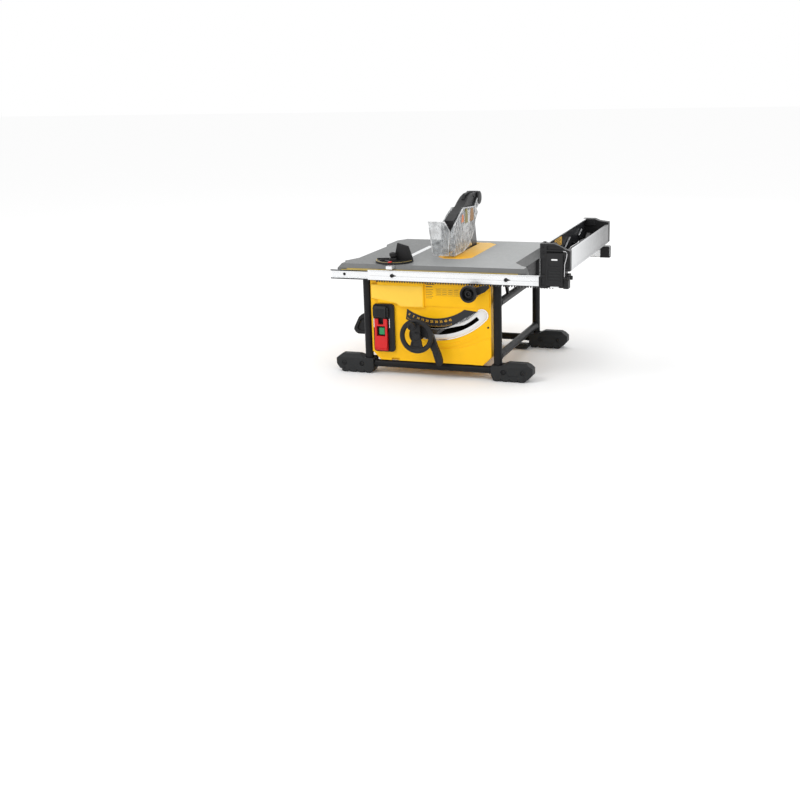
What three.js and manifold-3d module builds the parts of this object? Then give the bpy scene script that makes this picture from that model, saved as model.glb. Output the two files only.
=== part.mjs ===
// Compact jobsite table saw: tubular cage, moulded body, cast table, telescoping fence rails
// driven by rack and pinion, tilting and lifting blade, guard, rip fence and mitre gauge.
// Millimetres. Each sub-part is drawn in the saw's own frame: X to the right with 0 in the
// blade plane, Y to the back with 0 at the middle of the table, Z up from the floor.
import * as THREE from 'three';
import Module from 'manifold-3d';
import { mergeVertices } from 'three/addons/utils/BufferGeometryUtils.js';

const wasm = await Module();
wasm.setup();

// ---- driving dimensions ---------------------------------------------------------------
const ORIGIN_X = 51; // the finished origin: on the floor, under the middle of the whole saw
const ORIGIN_Y = -24;
const GAP = 0.4; // clearance between pieces that touch

const TABLE_TOP = 332;
const TABLE_FRONT = -242.5;
const TABLE_BACK = 242.5;
const TABLE_LEFT = -264;
const TABLE_RIGHT = 222;
const SKIRT_BOTTOM = 300;
const TABLE_PLATE = 7;
const TABLE_UNDER = TABLE_TOP - TABLE_PLATE;

const SLOT_X = -125; // mitre slot
const SLOT_WIDTH = 19.4;
const SLOT_DEPTH = 9.6;

const THROAT = { x0: -36, x1: 70, y0: -105, y1: 206, thick: 4, corner: 26 };

const LEG_RADIUS = 12.2;
const LEG_LEFT = -212.4;
const LEG_RIGHT = 189.7;
const LEG_FRONT = -220;
const LEG_BACK = 216;
const LOWER_SIDE_TUBE = 69;
const UPPER_SIDE_TUBE = 226;
const CROSS_TUBE = 29.5;
const CROSS_RADIUS = 11;

const BODY = { x0: -199.5, x1: 172, y0: -226, y1: 225, z0: 42, z1: 298, wall: 4, chamfer: 26 };
const PANEL_DEPTH = 24; // the front panel's side walls, back from its face
// Behind the panel the body narrows towards the back, and its right side is a low wall only,
// which leaves the tilted blade and cradle room to swing out above it.
const TAPER = { y: -190, backX: 60, lowTop: 98, from: -165 };

const PIVOT = { x: 0, z: TABLE_TOP }; // tilt axis, along Y in the table surface
const WHEEL_SWING = 200; // tilt axis to handwheel shaft
const WHEEL_ANGLE = -10; // of the shaft at zero bevel, from straight down
const WHEEL = { x: swingX(WHEEL_SWING, WHEEL_ANGLE), z: swingZ(WHEEL_SWING, WHEEL_ANGLE) };
const WHEEL_RADIUS = 50;
const WHEEL_FRONT = -297;
const SCALE_INNER = 156;
const SLOT_INNER = 186.5;
const SLOT_OUTER = 218.5;
const SLOT_MIDDLE = (SLOT_INNER + SLOT_OUTER) / 2;
const SLOT_ENDS = [-17, 46]; // degrees round the tilt axis

const ARBOR = { y: 45, z: 292 };
const BLADE_RADIUS = 105;
const BLADE_TEETH = 24;
const GEAR_MODULE = 1.5;
const GEAR_TEETH = 32;
const MOTOR_PINION_TEETH = 10;
const GEAR_CENTRES = (GEAR_MODULE * (GEAR_TEETH + MOTOR_PINION_TEETH)) / 2;
const MOTOR_DROP = 26; // motor axis below the arbor
const MOTOR = {
  y: ARBOR.y + Math.sqrt(GEAR_CENTRES ** 2 - MOTOR_DROP ** 2),
  z: ARBOR.z - MOTOR_DROP,
};
const CARRIAGE = { x0: -48, x1: -25, z0: 236, z1: 262 };
const POST_X = -37;
const POST_FRONT = -62;
const POST_BACK = 163;
const POST_RADIUS = 7;
const SCREW_Y = -92;
const SCREW_RADIUS = 6;

const FIXED_RAIL = { x0: -315, x1: 272, y0: 243.2, y1: 253, z0: 288, z1: 315.5 };
const MOVING_RAIL = { x0: -194, x1: 388, y0: 253.4, y1: 257.3, z0: 288, z1: 318.5 };
const RACK_MODULE = 2.5;
const RACK_PINION_TEETH = 16;
const RACK_RADIUS = (RACK_MODULE * RACK_PINION_TEETH) / 2;
const RACK_PITCH = Math.PI * RACK_MODULE;
const RAIL_SHAFT = { x: 125, z: 265.3, radius: 5 };

const FENCE = {
  x0: 334,
  x1: 414,
  y0: -236,
  y1: 238,
  rightFront: -262, // the right face runs on past the front head
  z0: 335.4,
  leftTop: 410,
  rightTop: 393,
};

const HEAD = { y: 168, z: 480, radius: 21 }; // guard hinge
const GUARD_INSIDE = 16; // half the space between the two guard sides
const GUARD_SKIN = 2.5;
const ARM_HALF = 14.4; // half the width of the guard arm
const KNIFE_THICK = 2;

// The quadrant plate and its locking knob sit to the left of the bar.
const MITRE = { x: SLOT_X - 11, y: -183, radius: 57, boss: 14, plate: 5.4 };

// wing knob on the left side frame
const STORAGE = { y: -150, z: 138, plate: 3, plateHalf: 28, plateLow: 52, plateHigh: 244 };

const SWITCH = { x0: -191, x1: -125, z0: 69, z1: 213 };
const PADDLE_HINGE = { y: -240, z: 166 };

// ---- finishes -------------------------------------------------------------------------
const YELLOW = [0xf2b30d, 0.45, 0];
const BLACK_PLASTIC = [0x202123, 0.6, 0];
const BLACK_PAINT = [0x242628, 0.45, 0.2];
const TABLE_GREY = [0x8d8f8f, 0.45, 0.35];
const ALUMINIUM = [0xd4d6d8, 0.3, 0.9];
const STEEL = [0xa7aaad, 0.35, 0.9];
const CASTING = [0x8b8d90, 0.55, 0.7];
const RED = [0xc4161c, 0.4, 0];
const GREEN = [0x14803c, 0.4, 0];
const CLEAR = [0xdfe5e8, 0.15, 0];
const DARK_GREY = [0x3a3c3e, 0.5, 0.1];

// ---- geometry helpers -----------------------------------------------------------------
/** X of the point at a distance and an angle (degrees, from straight down) off the tilt axis. */
function swingX(radius, degrees) {
  return PIVOT.x + radius * Math.sin(THREE.MathUtils.degToRad(degrees));
}

/** Z of the same point. */
function swingZ(radius, degrees) {
  return PIVOT.z - radius * Math.cos(THREE.MathUtils.degToRad(degrees));
}

function swingArc(radius, from, to, steps) {
  return Array.from({ length: steps + 1 }, (_, i) => {
    const angle = from + ((to - from) * i) / steps;
    return [swingX(radius, angle), swingZ(radius, angle)];
  });
}

/** Points of a circle arc round (a, b), anticlockwise in degrees from the first axis. */
function arc(a, b, radius, from, to, steps) {
  return Array.from({ length: steps + 1 }, (_, i) => {
    const angle = THREE.MathUtils.degToRad(from + ((to - from) * i) / steps);
    return [a + radius * Math.cos(angle), b + radius * Math.sin(angle)];
  });
}

function outline(points, holes = []) {
  const shape = new THREE.Shape(points.map(([a, b]) => new THREE.Vector2(a, b)));
  for (const hole of holes) {
    shape.holes.push(new THREE.Path(hole.map(([a, b]) => new THREE.Vector2(a, b))));
  }
  return shape;
}

function circle(a, b, radius, sides = 20) {
  return arc(a, b, radius, 0, 360 - 360 / sides, sides - 1);
}

/** Outline in X-Y, extruded from z0 to z1. */
function slabXY(points, z0, z1, holes) {
  const options = { depth: z1 - z0, bevelEnabled: false };
  return new THREE.ExtrudeGeometry(outline(points, holes), options).translate(0, 0, z0);
}

/** Outline in X-Z, extruded from y0 to y1. */
function slabXZ(points, y0, y1, holes) {
  const options = { depth: y1 - y0, bevelEnabled: false };
  return new THREE.ExtrudeGeometry(outline(points, holes), options)
    .rotateX(Math.PI / 2)
    .translate(0, y1, 0);
}

/** Outline in Y-Z, extruded from x0 to x1. */
function slabYZ(points, x0, x1, holes) {
  const options = { depth: x1 - x0, bevelEnabled: false };
  return new THREE.ExtrudeGeometry(outline(points, holes), options)
    .rotateX(Math.PI / 2)
    .rotateZ(Math.PI / 2)
    .translate(x0, 0, 0);
}

function box(x0, x1, y0, y1, z0, z1) {
  return new THREE.BoxGeometry(x1 - x0, y1 - y0, z1 - z0).translate(
    (x0 + x1) / 2,
    (y0 + y1) / 2,
    (z0 + z1) / 2,
  );
}

function rodX(y, z, radius, x0, x1, sides = 20) {
  return slabYZ(circle(y, z, radius, sides), x0, x1);
}

function rodY(x, z, radius, y0, y1, sides = 20) {
  return slabXZ(circle(x, z, radius, sides), y0, y1);
}

function rodZ(x, y, radius, z0, z1, sides = 20) {
  return slabXY(circle(x, y, radius, sides), z0, z1);
}

/** Cone frustum along an axis direction, from radius r0 at the start point to r1. */
function cone(start, axis, length, r0, r1, sides = 16) {
  const turn = new THREE.Quaternion().setFromUnitVectors(new THREE.Vector3(0, 1, 0), axis);
  return new THREE.CylinderGeometry(r1, r0, length, sides)
    .translate(0, length / 2, 0)
    .applyQuaternion(turn)
    .translate(start.x, start.y, start.z);
}

function rectangle(a0, a1, b0, b1, chamfer = 0) {
  const c = chamfer;
  if (!c) return [[a0, b0], [a1, b0], [a1, b1], [a0, b1]];
  return [
    [a0 + c, b0], [a1 - c, b0], [a1, b0 + c], [a1, b1 - c],
    [a1 - c, b1], [a0 + c, b1], [a0, b1 - c], [a0, b0 + c],
  ];
}

/** Rectangle with only its lower two corners cut off. */
function tub(a0, a1, b0, b1, chamfer) {
  return [
    [a0 + chamfer, b0], [a1 - chamfer, b0], [a1, b0 + chamfer],
    [a1, b1], [a0, b1], [a0, b0 + chamfer],
  ];
}

/** Outline round two circles, as a belt lies round two wheels. */
function belt(a, b, steps = 10) {
  const along = Math.atan2(b.z - a.z, b.y - a.y);
  const reach = Math.hypot(b.y - a.y, b.z - a.z);
  const open = THREE.MathUtils.radToDeg(Math.acos((a.r - b.r) / reach));
  const turn = THREE.MathUtils.radToDeg(along);
  return [
    ...arc(a.y, a.z, a.r, turn + open, turn + 360 - open, steps * 2),
    ...arc(b.y, b.z, b.r, turn - open, turn + open, steps),
  ];
}

/** Spur gear outline with involute flanks; the flanks are thinned for backlash. */
function gearOutline(teeth, module, a, b, firstTooth, backlash = 0.12) {
  const pitch = (teeth * module) / 2;
  const base = pitch * Math.cos(THREE.MathUtils.degToRad(20));
  const root = pitch - 1.25 * module;
  const tip = pitch + 0.9 * module;
  const involute = (r) => {
    const pressure = Math.acos(Math.min(1, base / r));
    return Math.tan(pressure) - pressure;
  };
  const half = ((1 - backlash) * Math.PI) / (2 * teeth) + involute(pitch);
  const radii = [Math.max(root, base), pitch, tip];
  const flank = radii.map((r) => [r, half - involute(r)]);
  if (root < base) flank.unshift([root, flank[0][1]]);
  const points = [];
  for (let i = 0; i < teeth; i += 1) {
    const middle = firstTooth + (i * 2 * Math.PI) / teeth;
    for (const [r, angle] of flank) points.push(polar(a, b, r, middle - angle));
    for (const [r, angle] of [...flank].reverse()) points.push(polar(a, b, r, middle + angle));
  }
  return points;
}

function polar(a, b, radius, angle) {
  return [a + radius * Math.cos(angle), b + radius * Math.sin(angle)];
}

// ---- solids by boolean ----------------------------------------------------------------
function solid(geometry) {
  if (geometry instanceof wasm.Manifold) return geometry;
  const bare = geometry.clone();
  bare.deleteAttribute('normal');
  bare.deleteAttribute('uv');
  const merged = mergeVertices(bare, 1e-4);
  return new wasm.Manifold(
    new wasm.Mesh({
      numProp: 3,
      vertProperties: new Float32Array(merged.attributes.position.array),
      triVerts: new Uint32Array(merged.index.array),
    }),
  );
}

function join(...pieces) {
  return pieces.map(solid).reduce((whole, piece) => whole.add(piece));
}

function both(first, second) {
  return solid(first).intersect(solid(second));
}

function cut(piece, ...tools) {
  return tools.map(solid).reduce((left, tool) => left.subtract(tool), solid(piece));
}

function toGeometry(manifold) {
  const mesh = manifold.getMesh();
  const geometry = new THREE.BufferGeometry();
  geometry.setAttribute('position', new THREE.BufferAttribute(mesh.vertProperties, 3));
  geometry.setIndex(new THREE.BufferAttribute(mesh.triVerts, 1));
  geometry.computeVertexNormals();
  return geometry;
}

const saw = new THREE.Group();

function part(name, shape, [color, roughness, metalness]) {
  const geometry = shape instanceof wasm.Manifold ? toGeometry(shape) : shape;
  const material = new THREE.MeshStandardMaterial({ color, roughness, metalness });
  const mesh = new THREE.Mesh(geometry, material);
  mesh.name = name;
  saw.add(mesh);
}

// ---- cage: side frames, cross tubes, feet ---------------------------------------------
function sideFrame(x, ...extra) {
  const bottom = 24;
  const top = SKIRT_BOTTOM - GAP;
  const legs = [LEG_FRONT, LEG_BACK].map((y) => rodZ(x, y, LEG_RADIUS, bottom, top, 12));
  const rails = [LOWER_SIDE_TUBE, UPPER_SIDE_TUBE].map((z) =>
    rodY(x, z, LEG_RADIUS - 1, LEG_FRONT, LEG_BACK, 12),
  );
  const strut = slabYZ([...STRUT.foot, ...STRUT.head], x - STRUT.half, x + STRUT.half);
  const gusset = slabYZ(GUSSET.outline, x - GUSSET.half, x + GUSSET.half);
  return join(...legs, ...rails, strut, gusset, ...extra);
}

/** Short flat brace between the upper side tube and the table, as (Y, Z) corners. */
const STRUT = {
  foot: [[-112, UPPER_SIDE_TUBE], [-98, UPPER_SIDE_TUBE]],
  head: [[-138, 296], [-150, 296]],
  half: 4,
};

/** Plate filling the rear top corner of a side frame, as (Y, Z) corners. */
const GUSSET = {
  outline: [[104, UPPER_SIDE_TUBE], [206, UPPER_SIDE_TUBE], [206, 296], [88, 296]],
  half: 4,
};

const FOOT = {
  inner: 17,
  outer: 106,
  lobes: 4,
  top: 55,
  depth: 44,
  socketFloor: 23.5,
  boltRadius: 7.5,
  boltZ: 28,
};

/** Low toe on the inside of each rear foot, from the leg's own centre. */
const TOE = { reach: 66, y0: -60, y1: -16, z0: 3, z1: 13 };

/** Foot outline beside a leg at x = 0, reaching outwards along +X. */
function footOutline() {
  const { inner, outer, lobes, top } = FOOT;
  const pitch = (outer + inner - 22) / lobes;
  const points = [[-inner, 46], [-inner, 14]];
  for (let i = 0; i < lobes; i += 1) {
    const start = -inner + 5 + i * pitch;
    points.push([start, 8], [start + pitch * 0.25, 0], [start + pitch * 0.68, 0]);
  }
  points.push([outer - 16, 8], [outer, 23], [outer, 39], [outer - 20, top]);
  points.push([outer - 74, top], [20, 49], [14, 46]);
  return points;
}

function foot(legX, legY) {
  const side = Math.sign(legX);
  const points = footOutline().map(([x, z]) => [legX + side * x, z]);
  const front = legY < 0 ? legY - 17 : legY - 27;
  const block = slabXZ(side > 0 ? points : points.reverse(), front, front + FOOT.depth);
  const socket = rodZ(legX, legY, LEG_RADIUS + GAP, FOOT.socketFloor, 80, 12);
  const recesses = [20, 78].map((x) =>
    rodY(legX + side * x, FOOT.boltZ, FOOT.boltRadius, front - 5, front + 3, 10),
  );
  const shoe = cut(block, socket, ...recesses);
  if (legY < 0) return shoe;
  const { reach, y0, y1, z0, z1 } = TOE;
  const inside = [legX - side * reach, legX - side * 10].sort((a, b) => a - b);
  return join(shoe, box(...inside, legY + y0, legY + y1, z0, z1));
}

function buildCage() {
  const { y, plate, plateHalf, plateLow, plateHigh } = STORAGE;
  const side = LEG_LEFT - LEG_RADIUS;
  const face = rectangle(y - plateHalf, y + plateHalf, plateLow, plateHigh, 10);
  const storagePlate = slabYZ(face, side - plate, side + plate);
  part('left_side_frame', sideFrame(LEG_LEFT, storagePlate), BLACK_PAINT);
  part('right_side_frame', sideFrame(LEG_RIGHT), BLACK_PAINT);
  const start = LEG_LEFT + FOOT.inner + GAP;
  const end = LEG_RIGHT - FOOT.inner - GAP;
  part('front_cross_tube', rodX(LEG_FRONT, CROSS_TUBE, CROSS_RADIUS, start, end, 12), BLACK_PAINT);
  part('rear_cross_tube', rodX(LEG_BACK - 8, CROSS_TUBE, CROSS_RADIUS, start, end, 12), BLACK_PAINT);
  part('front_left_foot', foot(LEG_LEFT, LEG_FRONT), BLACK_PLASTIC);
  part('front_right_foot', foot(LEG_RIGHT, LEG_FRONT), BLACK_PLASTIC);
  part('rear_left_foot', foot(LEG_LEFT, LEG_BACK), BLACK_PLASTIC);
  part('rear_right_foot', foot(LEG_RIGHT, LEG_BACK), BLACK_PLASTIC);
}

// ---- body: front panel, shell, scale, switch ------------------------------------------
/** Arc-shaped slot round the tilt axis, with round ends. */
function swingSlot(middle, half, from, to, y0, y1) {
  const near = swingArc(middle - half, from, to, 16);
  const far = swingArc(middle + half, from, to, 16).reverse();
  const bar = slabXZ([...near, ...far].reverse(), y0, y1);
  const ends = [from, to].map((a) => rodY(swingX(middle, a), swingZ(middle, a), half, y0, y1, 16));
  return join(bar, ...ends);
}

const RAISED_BOX = {
  proud: 8,
  outline: [[-174, 218], [-112, 218], [-106, 208], [-30, 208], [-30, 290], [-174, 290]],
};

function frontPanel() {
  const { y0, z0, wall } = BODY;
  const tray = cut(
    slabXZ(bodySection(0), y0, y0 + PANEL_DEPTH),
    slabXZ(bodySection(wall), y0 + wall, y0 + PANEL_DEPTH + 1),
  );
  const block = slabXZ(RAISED_BOX.outline, y0 - RAISED_BOX.proud, y0 + wall);
  const half = (SLOT_OUTER - SLOT_INNER) / 2;
  const slot = swingSlot(SLOT_MIDDLE, half, ...SLOT_ENDS, y0 - 5, y0 + wall + 5);
  const shaftHole = rodY(RAIL_SHAFT.x, RAIL_SHAFT.z, RAIL_SHAFT.radius + 2, y0 - 5, y0 + wall + 5, 12);
  const notches = [-127, 105].map((x) => box(x - 12, x + 12, y0 - 1, y0 + 6, z0 - 1, z0 + 7));
  return cut(join(tray, block), slot, shaftHole, ...notches);
}

/** The body's section across Y, inset by a wall thickness. */
function bodySection(by) {
  const { x0, x1, z0, z1, chamfer } = BODY;
  return tub(x0 + by, x1 - by, z0 + by, z1 - by, chamfer);
}

/** The body's plan, inset by a wall thickness, between two Y places. */
function bodyPlan(by, y0, y1) {
  const { x0, x1 } = BODY;
  const slope = (TAPER.backX - x1) / (BODY.y1 - TAPER.y);
  const rightAt = (y) => x1 + slope * (y - TAPER.y) - by * Math.hypot(1, slope);
  return [[x0 + by, y0], [rightAt(TAPER.y), y0], [rightAt(TAPER.y), TAPER.y],
    [rightAt(y1), y1], [x0 + by, y1]];
}

const DUST = { x: -70, z: 100, radius: 29, wall: 3, length: 45 };
const VENTS = { x: -12, pitch: 20, width: 10, z0: 90, z1: 150 };

function bodyShell() {
  const { x0, x1, y1, z0, z1, wall } = BODY;
  const start = BODY.y0 + PANEL_DEPTH + GAP;
  const outside = both(slabXZ(bodySection(0), start, y1), slabXY(bodyPlan(0, start, y1), z0, z1));
  const inside = both(
    slabXZ(bodySection(wall), start - 1, y1 - wall),
    slabXY(bodyPlan(wall, start - 1, y1 - wall), z0, z1),
  );
  const openTop = box(x0 + 12, x1 - 12, start - 1, y1 - wall - 1, z1 - wall - 1, z1 + 1);
  const openSide = box(TAPER.backX - 20, x1 + 1, TAPER.from, y1 - wall, TAPER.lowTop, z1 + 1);
  const dustHole = rodY(DUST.x, DUST.z, DUST.radius - DUST.wall, y1 - wall - 5, y1 + 5, 20);
  const vents = [0, 1, 2].map((i) => {
    const left = VENTS.x + i * VENTS.pitch;
    return box(left, left + VENTS.width, y1 - wall - 1, y1 + 1, VENTS.z0, VENTS.z1);
  });
  return cut(cut(outside, inside), openTop, openSide, dustHole, ...vents);
}

function bevelScale() {
  const outer = SLOT_INNER - 1.5;
  const near = swingArc(SCALE_INNER, -33, 36, 14);
  const far = swingArc(outer, 45, -29, 14);
  const y1 = BODY.y0 - GAP;
  return slabXZ([...near, ...far].reverse(), y1 - 1.6, y1);
}

function bevelLockPlate() {
  const y0 = BODY.y0 + BODY.wall + GAP;
  const plate = swingSlot(SLOT_MIDDLE, 20, -22, 45.5, y0, y0 + 2.5);
  return cut(plate, swingSlot(WHEEL_SWING, 8.5, WHEEL_ANGLE - 2, 40, y0 - 1, y0 + 4));
}

function switchPlate() {
  const { x0, x1, z0, z1 } = SWITCH;
  const y1 = BODY.y0 - GAP;
  const plate = slabXZ(rectangle(x0, x1, z0, z1, 6), y1 - 7, y1);
  const well = box(x0 + 5, x1 - 17, y1 - 8, y1 - 2, z0 + 2.5, PADDLE_HINGE.z + 5);
  return cut(plate, well);
}

function stopPaddle() {
  const { x0, x1, z0 } = SWITCH;
  const left = x0 + 7;
  const right = x1 - 20;
  const front = PADDLE_HINGE.y;
  const profile = [
    [front, z0 + 4], [front + 5, z0 + 4], [front + 5, 110], [front + 5, 164],
    [front + 1, 170], [front - 3, 170], [front - 4, 114], [front - 8, z0 + 14],
  ];
  const paddle = slabYZ(profile, left, right);
  return cut(paddle, box(left + 6, right - 6, front - 20, front + 20, 118, 148));
}

function buildBody() {
  part('front_panel', frontPanel(), YELLOW);
  part('body_shell', bodyShell(), YELLOW);
  part('bevel_scale', bevelScale(), DARK_GREY);
  part('bevel_lock_plate', bevelLockPlate(), STEEL);
  part('switch_plate', switchPlate(), BLACK_PLASTIC);
  const capFront = BODY.y0 - GAP * 2 - 7;
  const cap = rectangle(capFront - 14, capFront, 174, 208, 3);
  part('switch_cap', slabYZ(cap, SWITCH.x0 + 2, SWITCH.x1 - 16), BLACK_PLASTIC);
  part('stop_paddle', stopPaddle(), RED);
  const button = rectangle(-171, -154, 122, 143, 2);
  part('start_button', slabXZ(button, -239.5, -231.6), GREEN);
  const backWall = BODY.y1 + GAP;
  const port = cut(
    rodY(DUST.x, DUST.z, DUST.radius, backWall, backWall + DUST.length, 24),
    rodY(DUST.x, DUST.z, DUST.radius - DUST.wall, backWall - 1, backWall + 60, 24),
  );
  part('dust_port', port, BLACK_PLASTIC);
  const gland = join(
    slabXZ(circle(-150, 190, 13, 6), backWall, backWall + 8),
    rodY(-150, 190, 9, backWall + 7, backWall + 20, 16),
  );
  part('cord_gland', gland, BLACK_PLASTIC);
}

// ---- table, throat plate, trunnion brackets -------------------------------------------
function tableOutline() {
  return [
    [-296, TABLE_FRONT], [283, TABLE_FRONT], [283, -222], [275, -207], [254, -188],
    [TABLE_RIGHT, -140], [TABLE_RIGHT, 128], [252, 172], [264, 196], [264, 226],
    [248, TABLE_BACK], [-254, TABLE_BACK], [-275, 204], [-277, 112], [TABLE_LEFT, 84],
    [-270, -135], [-296, -198],
  ];
}

/** Throat plate outline, grown or shrunk. */
function throatOutline(grow) {
  const { x0, x1, y0, y1, corner } = THROAT;
  return rectangle(x0 - grow, x1 + grow, y0 - grow, y1 + grow, corner);
}

function tableTop() {
  const slab = slabXY(tableOutline(), SKIRT_BOTTOM, TABLE_TOP);
  const rib = box(SLOT_X - 16, SLOT_X + 16, -260, 260, 316, TABLE_UNDER + 1);
  const pocket = cut(
    box(TABLE_LEFT + 8, TABLE_RIGHT - 8, TABLE_FRONT + 8, TABLE_BACK - 8, 290, TABLE_UNDER),
    rib,
  );
  const slot = box(
    SLOT_X - SLOT_WIDTH / 2, SLOT_X + SLOT_WIDTH / 2, -260, 260,
    TABLE_TOP - SLOT_DEPTH, TABLE_TOP + 1,
  );
  const frontBevel = slabYZ([[-244, 318], [-244, 333], [-234, 333]].reverse(), -310, 310);
  const leftBevel = slabXZ([[-297, 318], [-297, 333], [-284, 333]].reverse(), -260, -190);
  const rightBevel = slabXZ([[284, 318], [284, 333], [271, 333]], -260, -190);
  const seat = slabXY(throatOutline(GAP), TABLE_TOP - THROAT.thick - GAP, TABLE_TOP + 1);
  const well = slabXY(throatOutline(-7), TABLE_UNDER - 3, TABLE_TOP);
  const table = cut(slab, pocket, slot, frontBevel, leftBevel, rightBevel, seat, well);
  const { x, z, radius } = RAIL_SHAFT;
  return cut(join(table, shaftLug()), rodY(x, z, radius + GAP, 200, 240, 16));
}

/** Lug inside the rear skirt, which the rail shaft turns in. */
function shaftLug() {
  const { x, z, radius } = RAIL_SHAFT;
  const half = radius + 4;
  const y1 = TABLE_BACK - 6;
  return join(
    box(x - half, x + half, y1 - 9, y1, z, TABLE_UNDER + 1),
    rodY(x, z, half, y1 - 9, y1, 16),
  );
}

function throatPlate() {
  const z0 = TABLE_TOP - THROAT.thick;
  const plate = slabXY(throatOutline(0), z0, TABLE_TOP);
  const kerf = box(-4, 9, -68, 202, z0 - 1, TABLE_TOP + 1);
  return cut(plate, kerf);
}

/** Half ring hung under the table, which the tilting trunnion turns against. */
function trunnionBracket(y0, y1) {
  const ring = swingArc(82, -84, 84, 14);
  const inner = swingArc(66, 84, -84, 14);
  const half = slabXZ([...ring, ...inner], y0, y1);
  const top = box(-100, 100, y0 - 1, y1 + 1, TABLE_UNDER - GAP, 400);
  const ears = [-1, 1].map((s) => {
    const near = Math.min(s * 64, s * 104);
    return box(near, near + 40, y0, y1, TABLE_UNDER - 12, TABLE_UNDER - GAP);
  });
  return join(cut(half, top), ...ears);
}

function buildTable() {
  part('table_top', tableTop(), TABLE_GREY);
  part('throat_plate', throatPlate(), YELLOW);
  part('front_trunnion_bracket', trunnionBracket(-190, -180), CASTING);
  part('rear_trunnion_bracket', trunnionBracket(208, 217), CASTING);
}

// ---- rails, rack drive, fence ---------------------------------------------------------
/** C-channel that opens away from the table; side is -1 in front and 1 behind. */
function fixedRail(side) {
  const { x0, x1, y0, y1, z0, z1 } = FIXED_RAIL;
  const profile = [
    [y0, z0], [y1, z0], [y1, z0 + 3.5], [y0 + 2.8, z0 + 3.5],
    [y0 + 2.8, z1 - 3.5], [y1, z1 - 3.5], [y1, z1], [y0, z1],
  ].map(([y, z]) => [side * y, z]);
  return slabYZ(side > 0 ? profile : profile.reverse(), x0, x1);
}

/** Rail plate with rack teeth along its lower edge. */
function rackPlate(x0, x1, z1, y0, y1, teeth) {
  const line = RAIL_SHAFT.z + RACK_RADIUS; // pitch line
  const land = line + 1.2 * RACK_MODULE;
  const tip = line - 0.85 * RACK_MODULE;
  const root = RACK_PITCH * 0.34;
  const crest = RACK_PITCH * 0.13;
  const phase = RAIL_SHAFT.x - Math.floor((RAIL_SHAFT.x - x0 - 24) / RACK_PITCH) * RACK_PITCH;
  const points = [[x0, z1], [x0, land]];
  for (let i = 0; i < teeth; i += 1) {
    const middle = phase + i * RACK_PITCH;
    points.push([middle - root, land], [middle - crest, tip]);
    points.push([middle + crest, tip], [middle + root, land]);
  }
  points.push([x1, land], [x1, z1]);
  return slabXZ(points, y0, y1);
}

function movingRail(side) {
  const { x0, x1, y0, y1, z1 } = MOVING_RAIL;
  const [front, back] = side > 0 ? [y0, y1] : [-y1, -y0];
  const plate = rackPlate(x0, x1, z1, front, back, side > 0 ? 56 : 68);
  const inner = FIXED_RAIL.y0 + 3.6;
  const [near, far] = side > 0 ? [inner, y0 + 1] : [-y0 - 1, -inner];
  const tongue = box(x0, x1, near, far, FIXED_RAIL.z0 + 4.2, FIXED_RAIL.z1 - 4.2);
  if (side < 0) return join(plate, tongue);
  const cap = box(x1 - 1, x1 + 30, 245, 264, 293, 324);
  return join(plate, tongue, cap);
}

function railShaft() {
  const { x, z } = RAIL_SHAFT;
  const gap = Math.PI / 2 + Math.PI / RACK_PINION_TEETH; // a tooth space points straight up
  const gear = gearOutline(RACK_PINION_TEETH, RACK_MODULE, x, z, gap, 0.2);
  return join(
    rodY(x, z, RAIL_SHAFT.radius, -275, 262, 12),
    slabXZ(gear, -259, -253.6),
    slabXZ(gear, 253.6, 259),
  );
}

function railKnob() {
  const { x, z } = RAIL_SHAFT;
  const profile = [
    [5.4, 0], [15, 0], [22, 5], [25, 13], [25, 21], [22.5, 24], [19, 24], [17, 12], [9, 10],
    [9, 17], [5.4, 17],
  ].map(([r, y]) => new THREE.Vector2(r, y));
  profile.push(profile[0].clone());
  return new THREE.LatheGeometry(profile, 28).rotateX(Math.PI).translate(x, -272.6, z);
}

function railLockLever() {
  const { x, z } = RAIL_SHAFT;
  const points = [
    ...arc(x, z, 15, 60, 330, 14), [x + 24, z - 6], [x + 52, z + 12], [x + 55, z + 18],
    [x + 50, z + 23], [x + 30, z + 20],
  ];
  return slabXZ(points, -271.4, -260.4, [circle(x, z, 5.6, 16)]);
}

function buildRails() {
  part('front_fixed_rail', fixedRail(-1), ALUMINIUM);
  part('rear_fixed_rail', fixedRail(1), ALUMINIUM);
  part('front_moving_rail', movingRail(-1), ALUMINIUM);
  part('rear_moving_rail', movingRail(1), ALUMINIUM);
  part('rail_pinion_shaft', railShaft(), STEEL);
  part('rail_knob', railKnob(), BLACK_PLASTIC);
  part('rail_lock_lever', railLockLever(), BLACK_PLASTIC);
}

const FACE_WALL = 4.5; // of the right fence face
const LATCH = { x0: 350, x1: 396, hingeZ: 384, front: -286 };

function fenceFrontHead() {
  const section = (low) => [
    [331, low], [415, low], [415, 394], [398, 400], [372, 413], [331, 413],
  ];
  const front = slabXZ(section(289), -282, -257.8);
  const overRail = slabXZ(section(320), -258, -246);
  const overTable = slabXZ(section(335), -247, FENCE.y0 - GAP);
  const railCap = box(325.5, 332, -276, -257.8, 289, 320);
  const latchWell = box(LATCH.x0 - GAP, LATCH.x1 + GAP, -290, -272, 284, LATCH.hingeZ + 8);
  const sideNotch = box(401, 420, -290, -230, 327, 338);
  const lowerStep = box(410.5, 420, -290, -230, 280, 328);
  const { x1, y0, z0, rightFront } = FENCE;
  const faceSeat = box(x1 - FACE_WALL - GAP, 420, rightFront - GAP, y0 + 5, z0, 420);
  const head = join(front, railCap, overRail, overTable);
  const adjuster = rodX(-270, 319, 6, 405, 419.6, 16);
  return join(cut(head, latchWell, sideNotch, lowerStep, faceSeat), adjuster);
}

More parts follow.
